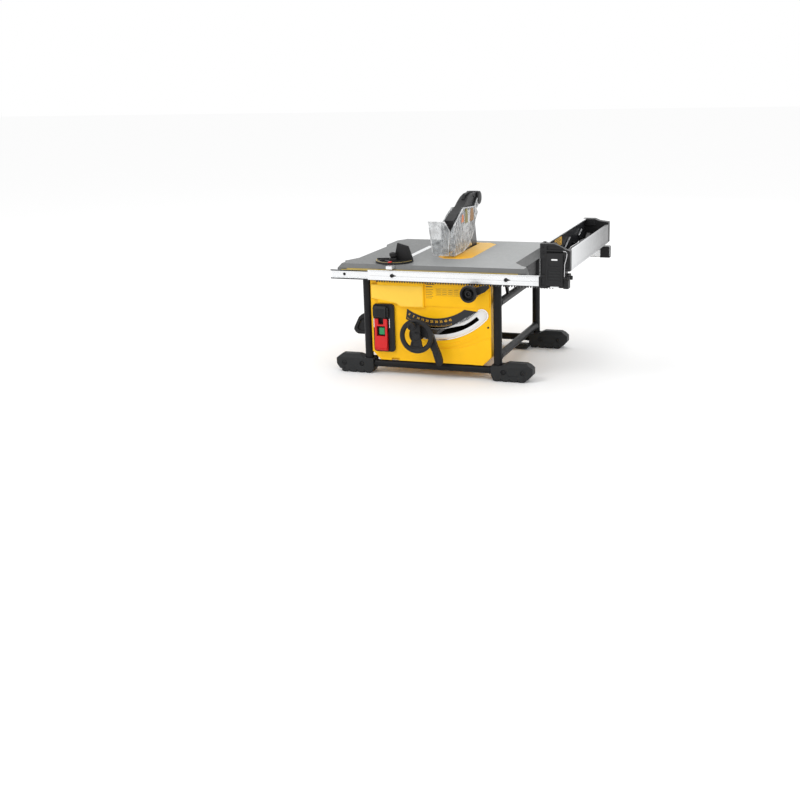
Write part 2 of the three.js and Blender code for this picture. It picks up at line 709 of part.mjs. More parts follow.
/** Rear head, with the floor of the storage space inside the fence. */
function fenceRearHead() {
  const y0 = FENCE.y1 + GAP;
  const face = [
    [FENCE.x0, 337], [FENCE.x1, 337], [FENCE.x1, 400], [384, 404], [370, 410], [FENCE.x0, 410],
  ];
  const hook = box(344, 384, 258, 263, 300, 345);
  const tray = box(FENCE.x0 + 4 + GAP, FENCE.x1 - FACE_WALL - GAP, FENCE.y0, y0 + 1, 339, 343);
  return join(slabXZ(face, y0, 263), hook, tray);
}

function fenceLatch() {
  const { x0, x1, hingeZ, front } = LATCH;
  const profile = [
    [-273, hingeZ - 4], [-273, 330], [-277, 296], [front, 296],
    [front - 3, 330], [front - 2, hingeZ - 6], [front + 6, hingeZ + 6], [-276, hingeZ + 6],
  ];
  return slabYZ(profile.reverse(), x0, x1);
}

function pushStick() {
  const profile = [
    [-160, 346], [60, 346], [110, 352], [150, 346], [172, 352], [160, 372], [120, 384],
    [96, 372], [40, 376], [-120, 372], [-160, 364],
  ];
  return slabYZ(profile, 372, 384);
}

function buildFence() {
  const { x0, x1, y0, y1, rightFront, z0, leftTop, rightTop } = FENCE;
  part('fence_front_head', fenceFrontHead(), BLACK_PLASTIC);
  part('fence_rear_head', fenceRearHead(), BLACK_PLASTIC);
  part('fence_left_face', box(x0, x0 + 4, y0, y1, z0, leftTop), ALUMINIUM);
  const rightFace = box(x1 - FACE_WALL, x1, rightFront, y1, z0 + 1, rightTop);
  part('fence_right_face', rightFace, ALUMINIUM);
  part('push_stick', pushStick(), BLACK_PLASTIC);
  part('fence_latch', fenceLatch(), BLACK_PLASTIC);
}

// ---- tilting cradle -------------------------------------------------------------------
function trunnion(y0, y1) {
  const sector = swingArc(64, -80, 30, 12); // stays under the table through the whole tilt
  const plate = slabXZ([...sector, [0, TABLE_TOP - 14]], y0, y1);
  const web = slabXZ([[-58, 111], [-14, 111], [6, 200], [10, 286], [-48, 290], [-58, 200]], y0, y1);
  return join(plate, web);
}

function bevelLever() {
  const { x, z } = WHEEL;
  const points = [
    ...arc(x, z, 29, 60, 285, 14), [x + 28, z - 24], [x + 51, z - 74], [x + 56, z - 87],
    [x + 65, z - 91], [x + 72, z - 84], [x + 70, z - 66], [x + 46, z - 2], [x + 34, z + 20],
  ];
  return slabXZ(points, -274, -262, [circle(x, z, 8.6, 16)]);
}

function heightWheel() {
  const { x, z } = WHEEL;
  const back = WHEEL_FRONT + 14;
  const rim = new THREE.TorusGeometry(WHEEL_RADIUS - 7, 7, 8, 32)
    .rotateX(Math.PI / 2)
    .translate(x, WHEEL_FRONT + 7, z);
  const web = slabXZ([
    [x - 22, z + 38], [x - 12, z + 8], [x - 14, z - 8], [x - 22, z - 38],
    [x + 18, z - 38], [x + 12, z - 8], [x + 12, z + 8], [x + 10, z + 38],
  ].reverse(), WHEEL_FRONT + 4, back - 3);
  const hub = rodY(x, z, 13, WHEEL_FRONT, back + 2, 20);
  return join(rim, web, hub);
}

const HEIGHT_SHAFT_RADIUS = 7;
const GEAR_CONE = { length: 6.5, wide: 13.4, narrow: 6.9 };

/** Plain cone in place of a bevel gear, from its wide end along an axis. */
function bevelGear(start, axis) {
  return cone(start, axis, GEAR_CONE.length, GEAR_CONE.wide, GEAR_CONE.narrow);
}

function heightShaft() {
  const { x, z } = WHEEL;
  const start = WHEEL_FRONT + 16 + GAP;
  const gearFace = SCREW_Y - 14;
  const along = new THREE.Vector3(0, 1, 0);
  const gear = bevelGear(new THREE.Vector3(x, gearFace, z), along);
  const back = rodY(x, z, GEAR_CONE.wide, gearFace - 4, gearFace + 0.1, 16);
  return join(rodY(x, z, HEIGHT_SHAFT_RADIUS, start, gearFace + 1, 16), gear, back);
}

function elevationScrew() {
  const { x, z } = WHEEL;
  const gearFace = z + 14;
  const down = new THREE.Vector3(0, 0, -1);
  const gear = bevelGear(new THREE.Vector3(x, SCREW_Y, gearFace), down);
  return join(
    rodZ(x, SCREW_Y, SCREW_RADIUS, gearFace - 1, 306, 16),
    rodZ(x, SCREW_Y, GEAR_CONE.wide, gearFace - 0.1, gearFace + 4, 16),
    gear,
  );
}

const CRANK = { dx: -7, dz: 34 };

function crankKnob() {
  const profile = [[0, 0], [7, 0], [9, 4], [12, 14], [11, 20], [7, 22], [0, 22]];
  const turned = new THREE.LatheGeometry(profile.map(([r, y]) => new THREE.Vector2(r, y)), 20);
  const start = WHEEL_FRONT - GAP;
  return turned.rotateX(Math.PI).translate(WHEEL.x + CRANK.dx, start, WHEEL.z + CRANK.dz);
}

function buildCradle() {
  const bearing = rodY(WHEEL.x, WHEEL.z, HEIGHT_SHAFT_RADIUS + GAP, -190, -160, 16);
  part('front_trunnion', cut(trunnion(-178.5, -170), bearing), CASTING);
  part('rear_trunnion', trunnion(199.5, 207.4), CASTING);
  part('cradle_bar', box(-58, -14, -169.6, 199.1, 111, 120), CASTING);
  part('front_guide_post', rodZ(POST_X, POST_FRONT, POST_RADIUS, 120.4, 314, 16), STEEL);
  part('rear_guide_post', rodZ(POST_X, POST_BACK, POST_RADIUS, 120.4, 314, 16), STEEL);
  part('bevel_lock_lever', bevelLever(), BLACK_PLASTIC);
  part('height_wheel', heightWheel(), BLACK_PLASTIC);
  part('height_shaft', heightShaft(), STEEL);
  part('crank_knob', crankKnob(), BLACK_PLASTIC);
  part('elevation_screw', elevationScrew(), STEEL);
}

// ---- lifting carriage, motor, arbor, blade --------------------------------------------
function arborCarriage() {
  const { x0, x1, z0, z1 } = CARRIAGE;
  const { y, z } = ARBOR;
  const plate = slabYZ([
    [-110, z0], [178, z0], [178, z1], [ARBOR.y + 29, z - 10], ...arc(y, z, 30, 0, 180, 12),
    [ARBOR.y - 29, z - 10], [-80, z1], [-110, z1],
  ], x0, x1);
  const gearRoom = (gear, pinion) => belt({ y, z, r: gear }, { y: MOTOR.y, z: MOTOR.z, r: pinion });
  const rim = cut(
    slabYZ(gearRoom(30, 20), -70, x0 + 1),
    slabYZ(gearRoom(27, 12), -71, x0),
  );
  const knifeArm = box(x1 - 1, -KNIFE_THICK / 2 - GAP, 158, 178, z0, z1);
  const bores = [
    rodX(y, z, 8.3, -80, 0, 20),
    rodZ(POST_X, POST_FRONT, POST_RADIUS + GAP, 200, 300, 16),
    rodZ(POST_X, POST_BACK, POST_RADIUS + GAP, 200, 300, 16),
    rodZ(WHEEL.x, SCREW_Y, SCREW_RADIUS + GAP, 200, 300, 16),
  ];
  return cut(join(plate, rim, knifeArm), ...bores);
}

function motorHousing() {
  const { y, z } = MOTOR;
  const shell = join(rodX(y, z, 42, -178, -84, 24), rodX(y, z, 34, -84.5, -70 - GAP, 24));
  const room = rodX(y, z, 38, -180, -88, 24);
  const bore = rodX(y, z, 6, -100, -60, 16);
  return cut(shell, room, bore);
}

function motorRotor() {
  const { y, z } = MOTOR;
  const toMotor = Math.atan2(MOTOR.z - ARBOR.z, MOTOR.y - ARBOR.y);
  const facing = toMotor + Math.PI; // from the motor towards the arbor
  const pinion = gearOutline(MOTOR_PINION_TEETH, GEAR_MODULE, y, z, facing, 0.24);
  return join(
    rodX(y, z, 4.6, -170, -49, 12),
    rodX(y, z, 30, -160, -108, 20),
    slabYZ(pinion, -62, -50),
  );
}

function arborShaft() {
  const { y, z } = ARBOR;
  const toMotor = Math.atan2(MOTOR.z - ARBOR.z, MOTOR.y - ARBOR.y);
  const space = toMotor + Math.PI / GEAR_TEETH; // a tooth space faces the motor pinion
  const gear = gearOutline(GEAR_TEETH, GEAR_MODULE, y, z, space, 0.24);
  return join(
    rodX(y, z, 8, -66, 20, 20),
    rodX(y, z, 21, -7, -1.6, 24),
    slabYZ(gear, -62, -50),
  );
}

function blade() {
  const { y, z } = ARBOR;
  const points = [];
  const step = (2 * Math.PI) / BLADE_TEETH;
  for (let i = 0; i < BLADE_TEETH; i += 1) {
    const angle = i * step;
    points.push(polar(y, z, BLADE_RADIUS, angle));
    points.push(polar(y, z, BLADE_RADIUS - 2.5, angle + 0.1 * step));
    points.push(polar(y, z, BLADE_RADIUS - 9, angle + 0.12 * step * 5));
    points.push(polar(y, z, BLADE_RADIUS - 8.5, angle + 0.85 * step));
  }
  return slabYZ(points, -1.1, 1.1, [circle(y, z, 8.3, 20)]);
}

function arborNut() {
  const { y, z } = ARBOR;
  const washer = rodX(y, z, 19, 1.6, 5, 24);
  const nut = slabYZ(circle(y, z, 13, 6), 4.9, 15);
  return cut(join(washer, nut), rodX(y, z, 8.3, 0, 30, 20));
}

/** Riving knife, in the blade plane behind the blade, up to the guard's hinge head. */
function rivingKnife() {
  const clear = 5;
  const front = arc(ARBOR.y, ARBOR.z, BLADE_RADIUS + clear, -20, 52, 9);
  const points = [
    ...front, [148, 438], [158, 468], [180, 468], [178, 400], [194, 338], [190, 300],
    [182, 262], [182, 244],
  ];
  return slabYZ(points, -KNIFE_THICK / 2, KNIFE_THICK / 2);
}

function guardArm() {
  const { y, z, radius } = HEAD;
  const points = [
    [-76, 412], [-62, 404], [-48, 430], [0, 448], [28, 456], [60, 455], [130, 452],
    ...arc(y, z, radius, -70, 120, 12), [112, 500], [75, 493], [46, 482], [16, 468],
    [-36, 456], [-78, 441],
  ];
  const bar = slabYZ(points, -ARM_HALF, ARM_HALF);
  const knifeSlot = box(-KNIFE_THICK / 2 - GAP, KNIFE_THICK / 2 + GAP, 118, 200, 400, 472);
  return cut(bar, knifeSlot, rodX(y, z, 5.4, -20, 20, 16));
}

function buildLift() {
  part('arbor_carriage', arborCarriage(), CASTING);
  part('motor_housing', motorHousing(), BLACK_PLASTIC);
  part('motor_rotor', motorRotor(), STEEL);
  part('arbor_shaft', arborShaft(), STEEL);
  part('blade', blade(), STEEL);
  part('arbor_nut', arborNut(), STEEL);
  part('riving_knife', rivingKnife(), DARK_GREY);
  part('guard_arm', guardArm(), BLACK_PLASTIC);
}

// ---- blade guard ----------------------------------------------------------------------
const NOSE = [-94.5, -91.5]; // Y places of the two upright nose plates

/** Side of the guard; top edge along the arm, with a hole for the hinge pin. */
function guardSide(x0, x1, topLift) {
  const { y, z } = HEAD;
  const points = [
    [-92, 337], [0, 337], [46, 346], [81, 366], [110, 389], [122, 416], [149, 438], [136, 449],
    ...arc(y, z, 13, -60, 130, 7), [118, 461], [2, 470], [-92, 427 + topLift],
  ];
  return slabYZ(points, x0, x1, [circle(y, z, 5.4, 16)]);
}

function leftGuard() {
  const inner = -GUARD_INSIDE;
  const outer = inner - GUARD_SKIN;
  const nose = [[-48, 338], [3, 338], [8, 413], [-8, 440], [-61, 440]];
  return join(guardSide(outer, inner, 7), slabXZ(nose, ...NOSE));
}

function rightGuard() {
  const inner = GUARD_INSIDE;
  const outer = inner + GUARD_SKIN;
  const nose = [[5, 338], [outer + 4, 338], [outer + 3, 424], [inner, 424], [10, 413]];
  return join(guardSide(inner, outer, 0), slabXZ(nose, ...NOSE));
}

function buildGuard() {
  const pin = join(
    rodX(HEAD.y, HEAD.z, 5, -22, 22, 16),
    rodX(HEAD.y, HEAD.z, HEAD.radius - 0.5, -22, -19, 24),
    rodX(HEAD.y, HEAD.z, HEAD.radius - 0.5, 19, 22, 24),
  );
  part('guard_pin', pin, BLACK_PLASTIC);
  part('left_guard', leftGuard(), CLEAR);
  part('right_guard', rightGuard(), CLEAR);
}

// ---- mitre gauge ----------------------------------------------------------------------
function mitreHead() {
  const { x, y, radius, boss, plate } = MITRE;
  const z0 = TABLE_TOP + 0.6;
  const rim = arc(x, y, radius, 180, 360, 20);
  const disc = slabXY([...rim, [x + radius, y + 1], [x - radius, y + 1]], z0, z0 + plate);
  const windowRim = [...arc(x, y, 45, 200, 340, 12), ...arc(x, y, 30, 340, 200, 12)];
  const window = slabXY(windowRim, z0 - 2, z0 + plate + 2);
  const profile = [
    [-radius, z0], [radius, z0], [radius - 1, 342], [43, 379], [9, 388], [2, 358], [-10, 343],
    [-radius, 341],
  ];
  const face = slabXZ(profile.map(([a, z]) => [x + a, z]), y, y + 7);
  const hub = rodZ(x, y - boss, 12, z0, MITRE_HUB_TOP, 20);
  return join(cut(disc, window), face, hub);
}

const MITRE_HUB_TOP = 346;

function buildMitre() {
  const half = SLOT_WIDTH / 2 - 0.3;
  const floor = TABLE_TOP - SLOT_DEPTH;
  const bar = box(SLOT_X - half, SLOT_X + half, -262, 120, floor + 0.3, TABLE_TOP - 0.2);
  part('mitre_bar', bar, ALUMINIUM);
  part('mitre_head', mitreHead(), BLACK_PLASTIC);
  const knobProfile = [[0, 0], [7, 0], [8, 3], [10.5, 6], [10.5, 12.5], [8, 15.5], [0, 15.5]];
  const knob = new THREE.LatheGeometry(knobProfile.map(([r, y]) => new THREE.Vector2(r, y)), 20)
    .rotateX(Math.PI / 2)
    .translate(MITRE.x, MITRE.y - MITRE.boss, MITRE_HUB_TOP + GAP);
  part('mitre_knob', knob, BLACK_PLASTIC);
}

// ---- storage on the left side frame ---------------------------------------------------
function buildStorage() {
  const { y, z, plate } = STORAGE;
  const x1 = LEG_LEFT - LEG_RADIUS - plate - GAP;
  const stem = rodX(y, z, 8, x1 - 18, x1, 12);
  const wing = slabXZ([
    [x1 - 17, z - 36], [x1 - 17, z + 26], [x1 - 36, z + 15], [x1 - 53, z - 21], [x1 - 40, z - 34],
  ].reverse(), y - 16, y + 16);
  part('storage_knob', join(stem, wing), BLACK_PLASTIC);
}

// ---- assembly -------------------------------------------------------------------------
buildCage();
buildBody();
buildTable();
buildRails();
buildFence();
buildCradle();
buildLift();
buildGuard();
buildMitre();
buildStorage();

saw.position.set(-ORIGIN_X, -ORIGIN_Y, 0);

export default saw;
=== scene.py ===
"""Looks of the compact table saw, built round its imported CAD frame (Blender 4.5, metres).

Pieces are drawn in the saw's own millimetres, X from the blade plane, Y from the middle of
the table and Z from the floor, and are then carried into the row frame by TO_ROW.
"""
import math

import bmesh
import bpy
from mathutils import Matrix, Vector


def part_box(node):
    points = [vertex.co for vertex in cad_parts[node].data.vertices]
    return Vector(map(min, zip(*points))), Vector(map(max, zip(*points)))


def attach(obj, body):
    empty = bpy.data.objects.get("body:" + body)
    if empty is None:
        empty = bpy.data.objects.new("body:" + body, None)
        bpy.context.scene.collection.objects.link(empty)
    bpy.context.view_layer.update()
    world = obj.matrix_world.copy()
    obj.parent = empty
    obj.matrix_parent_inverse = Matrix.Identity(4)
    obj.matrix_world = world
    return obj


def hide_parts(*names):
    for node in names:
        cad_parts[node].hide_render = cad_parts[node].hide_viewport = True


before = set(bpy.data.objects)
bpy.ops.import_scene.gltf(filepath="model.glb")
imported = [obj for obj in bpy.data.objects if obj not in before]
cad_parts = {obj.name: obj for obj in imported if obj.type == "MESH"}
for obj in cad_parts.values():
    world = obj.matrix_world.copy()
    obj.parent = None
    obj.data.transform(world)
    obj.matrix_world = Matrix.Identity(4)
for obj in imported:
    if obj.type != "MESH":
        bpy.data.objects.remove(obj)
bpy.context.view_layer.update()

# ---- the saw's own frame ---------------------------------------------------------------
MM = 0.001


def middle(node):
    low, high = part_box(node)
    return (low + high) / 2


TO_ROW = Matrix.Translation((middle("blade").x, middle("table_top").y, 0)) @ Matrix.Scale(MM, 4)
FROM_ROW = TO_ROW.inverted()


def span(node):
    """Lowest and highest corner of a CAD node, in the saw's own millimetres."""
    low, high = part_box(node)
    return FROM_ROW @ low, FROM_ROW @ high


TABLE_TOP = span("table_top")[1].z
WHEEL = (FROM_ROW @ middle("height_shaft")).x, (FROM_ROW @ middle("height_shaft")).z
RAIL_SHAFT = (FROM_ROW @ middle("rail_pinion_shaft")).x, (FROM_ROW @ middle("rail_pinion_shaft")).z
PANEL_FACE = span("body_shell")[0].y - 24.4  # outside face of the front panel
TILT_Z = TABLE_TOP  # the blade tilts about a line in the table surface, at x = 0


# ---- materials -------------------------------------------------------------------------
def noise(tree, coords, scale, detail=3.0):
    node = tree.nodes.new("ShaderNodeTexNoise")
    node.inputs["Scale"].default_value = scale
    node.inputs["Detail"].default_value = detail
    tree.links.new(coords, node.inputs["Vector"])
    return node.outputs["Fac"]


def remap(tree, value, low, high, source_low=0.3, source_high=0.7):
    node = tree.nodes.new("ShaderNodeMapRange")
    node.inputs["From Min"].default_value = source_low
    node.inputs["From Max"].default_value = source_high
    node.inputs["To Min"].default_value = low
    node.inputs["To Max"].default_value = high
    tree.links.new(value, node.inputs["Value"])
    return node.outputs["Result"]


def colour_mix(tree, factor, first, second):
    node = tree.nodes.new("ShaderNodeMix")
    node.data_type = "RGBA"
    for socket, colour in ((node.inputs[6], first), (node.inputs[7], second)):
        if hasattr(colour, "links"):
            tree.links.new(colour, socket)
        else:
            socket.default_value = (*colour, 1)
    tree.links.new(factor, node.inputs[0])
    return node.outputs[2]


def shade(colour, factor):
    """The colour times one factor, or times one for each channel."""
    factors = factor if isinstance(factor, tuple) else (factor,) * 3
    return tuple(min(1.0, c * f) for c, f in zip(colour, factors))


def faded(tree, place, colour, colour_out, fade):
    """Colour that drifts towards a darker one between two places along an axis (metres)."""
    split = tree.nodes.new("ShaderNodeSeparateXYZ")
    tree.links.new(place, split.inputs[0])
    axis, start, end, factor = fade
    drift = remap(tree, split.outputs[axis], 0, 1, start, end)
    return colour_mix(tree, drift, colour_out, shade(colour, factor))


def surface(name, colour, rough, metal=0.0, mottle=0.08, patch=30, grain=0.1, fine=1600, stretch=(1, 1, 1),
            fade=None, specular=0.5, **fixed):
    """A finish: slow colour drift, finer specks, uneven gloss and a moulded or brushed grain."""
    material = bpy.data.materials.new(name)
    material.use_nodes = True
    tree = material.node_tree
    shader = tree.nodes["Principled BSDF"]
    place = tree.nodes.new("ShaderNodeTexCoord").outputs["Object"]
    if stretch != (1, 1, 1):
        mapping = tree.nodes.new("ShaderNodeMapping")
        mapping.inputs["Scale"].default_value = stretch
        tree.links.new(place, mapping.inputs["Vector"])
        grain_place = mapping.outputs["Vector"]
    else:
        grain_place = place
    drift = noise(tree, place, patch)
    specks = noise(tree, grain_place, fine / 4, 6)
    base = colour_mix(tree, remap(tree, drift, 0, 1), shade(colour, 1 - mottle),
                      shade(colour, 1 + mottle / 2))
    specked = colour_mix(tree, remap(tree, specks, 0, mottle * 2, 0.55, 0.8), base, shade(colour, 0.55))
    if fade:
        specked = faded(tree, place, colour, specked, fade)
    tree.links.new(specked, shader.inputs["Base Color"])
    gloss = remap(tree, noise(tree, place, patch * 4), rough * 0.85, rough * 1.15)
    tree.links.new(gloss, shader.inputs["Roughness"])
    bump = tree.nodes.new("ShaderNodeBump")
    bump.inputs["Strength"].default_value = grain
    bump.inputs["Distance"].default_value = 0.0002
    tree.links.new(noise(tree, grain_place, fine), bump.inputs["Height"])
    tree.links.new(bump.outputs["Normal"], shader.inputs["Normal"])
    shader.inputs["Metallic"].default_value = metal
    shader.inputs["Specular IOR Level"].default_value = specular
    for socket, value in fixed.items():
        shader.inputs[socket.replace("_", " ")].default_value = value
    material.diffuse_color = (*colour, 1)
    return material


def edged(name, colour, rough, edge=1.5, edge_rough=0.8, **rest):
    """A finish for faces and a brighter, smoother one for rounded edges: partly the wear of rubbed edges,
    partly a painted highlight along them.
    """
    face = surface(name, colour, rough, **rest)
    rim = surface(name + "_edge", shade(colour, edge), rough * edge_rough, **rest)
    return face, rim


def printed(name, colour, rough=0.5):
    return edged(name, colour, rough, 1.0, 1.0, grain=0.02)


YELLOW = edged("yellow_plastic", (0.96, 0.52, 0.004), 0.42, 1.03, 0.85, mottle=0.04, grain=0.12,
               specular=0.22)
INSERT = edged("insert_yellow", (0.95, 0.56, 0.12), 0.5, 1.04, mottle=0.04, grain=0.1, specular=0.12)
INSERT_PLATE = edged("throat_yellow", (0.96, 0.60, 0.16), 0.5, 1.04, mottle=0.04, grain=0.1,
                     fade=("Y", 0.12, -0.06, (0.98, 0.78, 0.06)), specular=0.12)
PAINT = edged("black_paint", (0.011, 0.011, 0.012), 0.42, 1.7, grain=0.16, fine=900, specular=0.16)
PLASTIC = edged("black_plastic", (0.015, 0.015, 0.016), 0.45, 2.2, 0.75, grain=0.25, fine=1200, specular=0.25)
CHARCOAL = edged("charcoal_rubber", (0.021, 0.022, 0.023), 0.55, 1.9, 0.85, grain=0.3, fine=900,
                 specular=0.22)
SCALE = edged("scale_grey", (0.026, 0.027, 0.030), 0.42, 1.6, grain=0.05, specular=0.25)
# table grey that darkens towards the left, to 0.52 of itself between x = 0.05 and -0.20 m: painted shade
CAST_WITH_PAINTED_SHADE = edged("table_grey", (0.35, 0.36, 0.36), 0.48, 1.1, 0.9, metal=0.1, mottle=0.04, grain=0.08, fine=2200,
             specular=0.3, fade=("X", 0.05, -0.20, 0.52))
# darker grey for every face of the table but its top: painted shade on the sides
TABLE_SIDE_PAINTED_SHADE = surface("table_side_painted_shade", (0.155, 0.158, 0.158), 0.5, metal=0.1, mottle=0.05, grain=0.15,
                    specular=0.25)
# paler yellow for the raised box on the front panel: painted sheen
RAISED_YELLOW_PAINTED_SHEEN = edged("raised_yellow_painted_sheen", (0.97, 0.60, 0.06), 0.38, 1.03, 0.85, mottle=0.03, grain=0.12,
                      specular=0.3)
SHADED = surface("shaded_inside", (0.020, 0.018, 0.014), 0.8, specular=0.1)
LABEL_INKS = [printed("label_" + word, colour)
              for word, colour in (("orange", (0.75, 0.22, 0.08)), ("olive", (0.26, 0.22, 0.05)),
                                   ("brown", (0.34, 0.17, 0.05)))]
ALUMINIUM = edged("aluminium", (0.84, 0.85, 0.86), 0.3, 1.08, metal=0.7, mottle=0.012, grain=0.04,
                  stretch=(0.05, 1, 1))
LONG_ALUMINIUM = edged("fence_aluminium", (0.86, 0.87, 0.88), 0.26, 1.06, metal=0.7, mottle=0.012,
                       grain=0.04, stretch=(1, 0.05, 1))
# brushed grain is real; the colour darkens towards the rear, to 0.26 of itself between y = -0.2 and 0.2 m:
# painted reflection
BRUSHED_PAINTED_REFLECTION = edged("fence_brushed_painted_reflection", (0.70, 0.71, 0.72), 0.36, 1.04, metal=0.5, mottle=0.012, grain=0.04,
                stretch=(1, 0.05, 1), fade=("Y", -0.2, 0.2, 0.26))
STEEL = edged("steel", (0.62, 0.62, 0.63), 0.28, 1.2, metal=1.0, mottle=0.04, grain=0.08, stretch=(0.2, 1, 1))
BRIGHT_PLATE = edged("lock_plate_bright", (0.80, 0.81, 0.82), 0.35, 1.1, metal=0.15, mottle=0.03, grain=0.03)
CHROME = edged("bright_steel", (0.80, 0.81, 0.82), 0.2, 1.1, metal=0.85, mottle=0.015, grain=0.03)
KNIFE = edged("knife_steel", (0.09, 0.09, 0.095), 0.36, 1.8, 0.7, metal=0.6, mottle=0.06, grain=0.05)
CASTING = edged("casting", (0.36, 0.36, 0.37), 0.5, 1.2, metal=0.8, mottle=0.1, grain=0.4, fine=700)
RED = edged("red_plastic", (0.62, 0.012, 0.014), 0.32, 1.25, mottle=0.04, grain=0.06, specular=0.35)
GREEN = edged("green_plastic", (0.01, 0.27, 0.09), 0.3, 1.3, mottle=0.04, grain=0.05)
SCREW = edged("black_screw", (0.008, 0.008, 0.009), 0.35, 2.0, 0.7, metal=0.3, grain=0.05)
INK = printed("label_ink", (0.16, 0.10, 0.02), 0.6)
NUMERALS = printed("scale_numerals", (0.95, 0.50, 0.03))
TAPE = printed("rail_tape", (0.52, 0.40, 0.12))
WHITE = printed("white_mark", (0.85, 0.85, 0.85))
# near-black finish for the strips along the fixed rail's front edges, and for the rack teeth under the moving
# rails, where it is painted shade
DARK_STRIP_AND_SHADE = edged("dark_strip_and_painted_shade", (0.02, 0.021, 0.023), 0.4, 1.6, metal=0.3, grain=0.06)


def clear_plastic(name, alpha, rough, colour):
    material = surface(name, colour, rough, mottle=0.55, patch=70, grain=0.5, fine=400, Alpha=alpha, IOR=1.49)
    return material, material


CLEAR = clear_plastic("clear_plastic", 0.42, 0.12, (0.50, 0.52, 0.53))
# paler, less clear plastic for the guard's ribs, rim and nose edge: real ribs and edges, with a painted
# highlight in their colour
CLEAR_RIB_PAINTED_HIGHLIGHT = clear_plastic("clear_plastic_rib_painted_highlight", 0.78, 0.15, (0.80, 0.82, 0.84))


# ---- mesh helpers ----------------------------------------------------------------------
LAY = {
    "x": lambda a, b, c: (c, a, b),
    "y": lambda a, b, c: (a, c, b),
    "z": lambda a, b, c: (a, b, c),
}


def to_object(bm):
    bmesh.ops.recalc_face_normals(bm, faces=bm.faces)
    mesh = bpy.data.meshes.new("draft")
    bm.to_mesh(mesh)
    bm.free()
    obj = bpy.data.objects.new("draft", mesh)
    bpy.context.scene.collection.objects.link(obj)
    return obj


def prism(outline, axis, c0, c1):
    """Outline in the plane across an axis (Y-Z, X-Z or X-Y), drawn out from c0 to c1."""
    bm = bmesh.new()
    rings = [[bm.verts.new(LAY[axis](a, b, c)) for a, b in outline] for c in (c0, c1)]
    for ring in rings:
        bm.faces.new(ring)
    for i in range(len(outline)):
        j = (i + 1) % len(outline)
        bm.faces.new((rings[0][i], rings[0][j], rings[1][j], rings[1][i]))
    return to_object(bm)


def pad(axis, a0, a1, b0, b1, radius, c0, c1):
    """Round-cornered rectangle in the plane across an axis, drawn out from c0 to c1."""
    return prism(rounded_rectangle(a0, a1, b0, b1, radius), axis, c0, c1)


def block(x0, x1, y0, y1, z0, z1):
    return prism([(x0, y0), (x1, y0), (x1, y1), (x0, y1)], "z", z0, z1)


def lathe(profile, axis, a, b, steps=48):
    """Profile of (radius, place along the axis), turned about the axis through (a, b)."""
    bm = bmesh.new()
    rings = []
    for radius, c in profile:
        turns = steps if radius else 1
        angles = [2 * math.pi * k / steps for k in range(turns)]
        rings.append([bm.verts.new(LAY[axis](a + radius * math.cos(t), b + radius * math.sin(t), c))
                      for t in angles])
    closed = profile[0] == profile[-1]
    if closed:
        for vert in rings.pop():
            bm.verts.remove(vert)
        rings.append(rings[0])
    for near, far in zip(rings, rings[1:]):
        for k in range(steps):
            n = (k + 1) % steps
            ring = [near[k % len(near)], near[n % len(near)], far[n % len(far)], far[k % len(far)]]
            ring = list(dict.fromkeys(ring))
            if len(ring) > 2:
                bm.faces.new(ring)
    if not closed:
        for ring in (rings[0], rings[-1]):
            if len(ring) > 2:
                bm.faces.new(ring)
    return to_object(bm)


def rod(axis, a, b, radius, c0, c1, steps=32):
    return lathe([(radius, c0), (radius, c1)], axis, a, b, steps)


def arc(a, b, radius, start, end, steps=12):
    angles = [math.radians(start + (end - start) * k / steps) for k in range(steps + 1)]
    return [(a + radius * math.cos(t), b + radius * math.sin(t)) for t in angles]


def swing(radius, degrees):
    """X-Z point at a distance and an angle, from straight down, off the tilt axis."""
    t = math.radians(degrees)
    return radius * math.sin(t), TILT_Z - radius * math.cos(t)


def swing_arc(radius, start, end, steps=40):
    return [swing(radius, start + (end - start) * k / steps) for k in range(steps + 1)]


def rounded_rectangle(a0, a1, b0, b1, radius, steps=6):
    corners = ((a1 - radius, b0 + radius, -90), (a1 - radius, b1 - radius, 0),
               (a0 + radius, b1 - radius, 90), (a0 + radius, b0 + radius, 180))
    return [point for a, b, turn in corners for point in arc(a, b, radius, turn, turn + 90, steps)]


def baked(obj):
    """The object's modifiers worked into its mesh."""
    bpy.context.view_layer.update()
    graph = bpy.context.evaluated_depsgraph_get()
    mesh = bpy.data.meshes.new_from_object(obj.evaluated_get(graph), depsgraph=graph)
    obj.modifiers.clear()
    old, obj.data = obj.data, mesh
    bpy.data.meshes.remove(old)
    return obj


def joined(*objs):
    """Several closed shells as one object."""
    bm = bmesh.new()
    for obj in objs:
        bm.from_mesh(obj.data)
        bpy.data.objects.remove(obj)
    return to_object(bm)


def softened_set(objs, width, segments):
    return joined(*[softened(obj, width, segments) for obj in objs])


def boolean(base, tools, operation):
    tool = joined(*tools) if len(tools) > 1 else tools[0]
    modifier = base.modifiers.new("boolean", "BOOLEAN")
    modifier.operation = operation
    modifier.solver = "EXACT"
    modifier.use_self = len(tools) > 1
    modifier.object = tool
    baked(base)
    bpy.data.objects.remove(tool)
    return base


def cut(base, *tools):
    return boolean(base, tools, "DIFFERENCE")


def fused(base, *tools):
    return boolean(base, tools, "UNION")


def cleaned(obj, degrees=1.0):
    bm = bmesh.new()
    bm.from_mesh(obj.data)
    bmesh.ops.remove_doubles(bm, verts=bm.verts, dist=0.002)
    bmesh.ops.dissolve_limit(bm, angle_limit=math.radians(degrees), verts=bm.verts, edges=bm.edges)
    bm.to_mesh(obj.data)
    bm.free()
    return obj


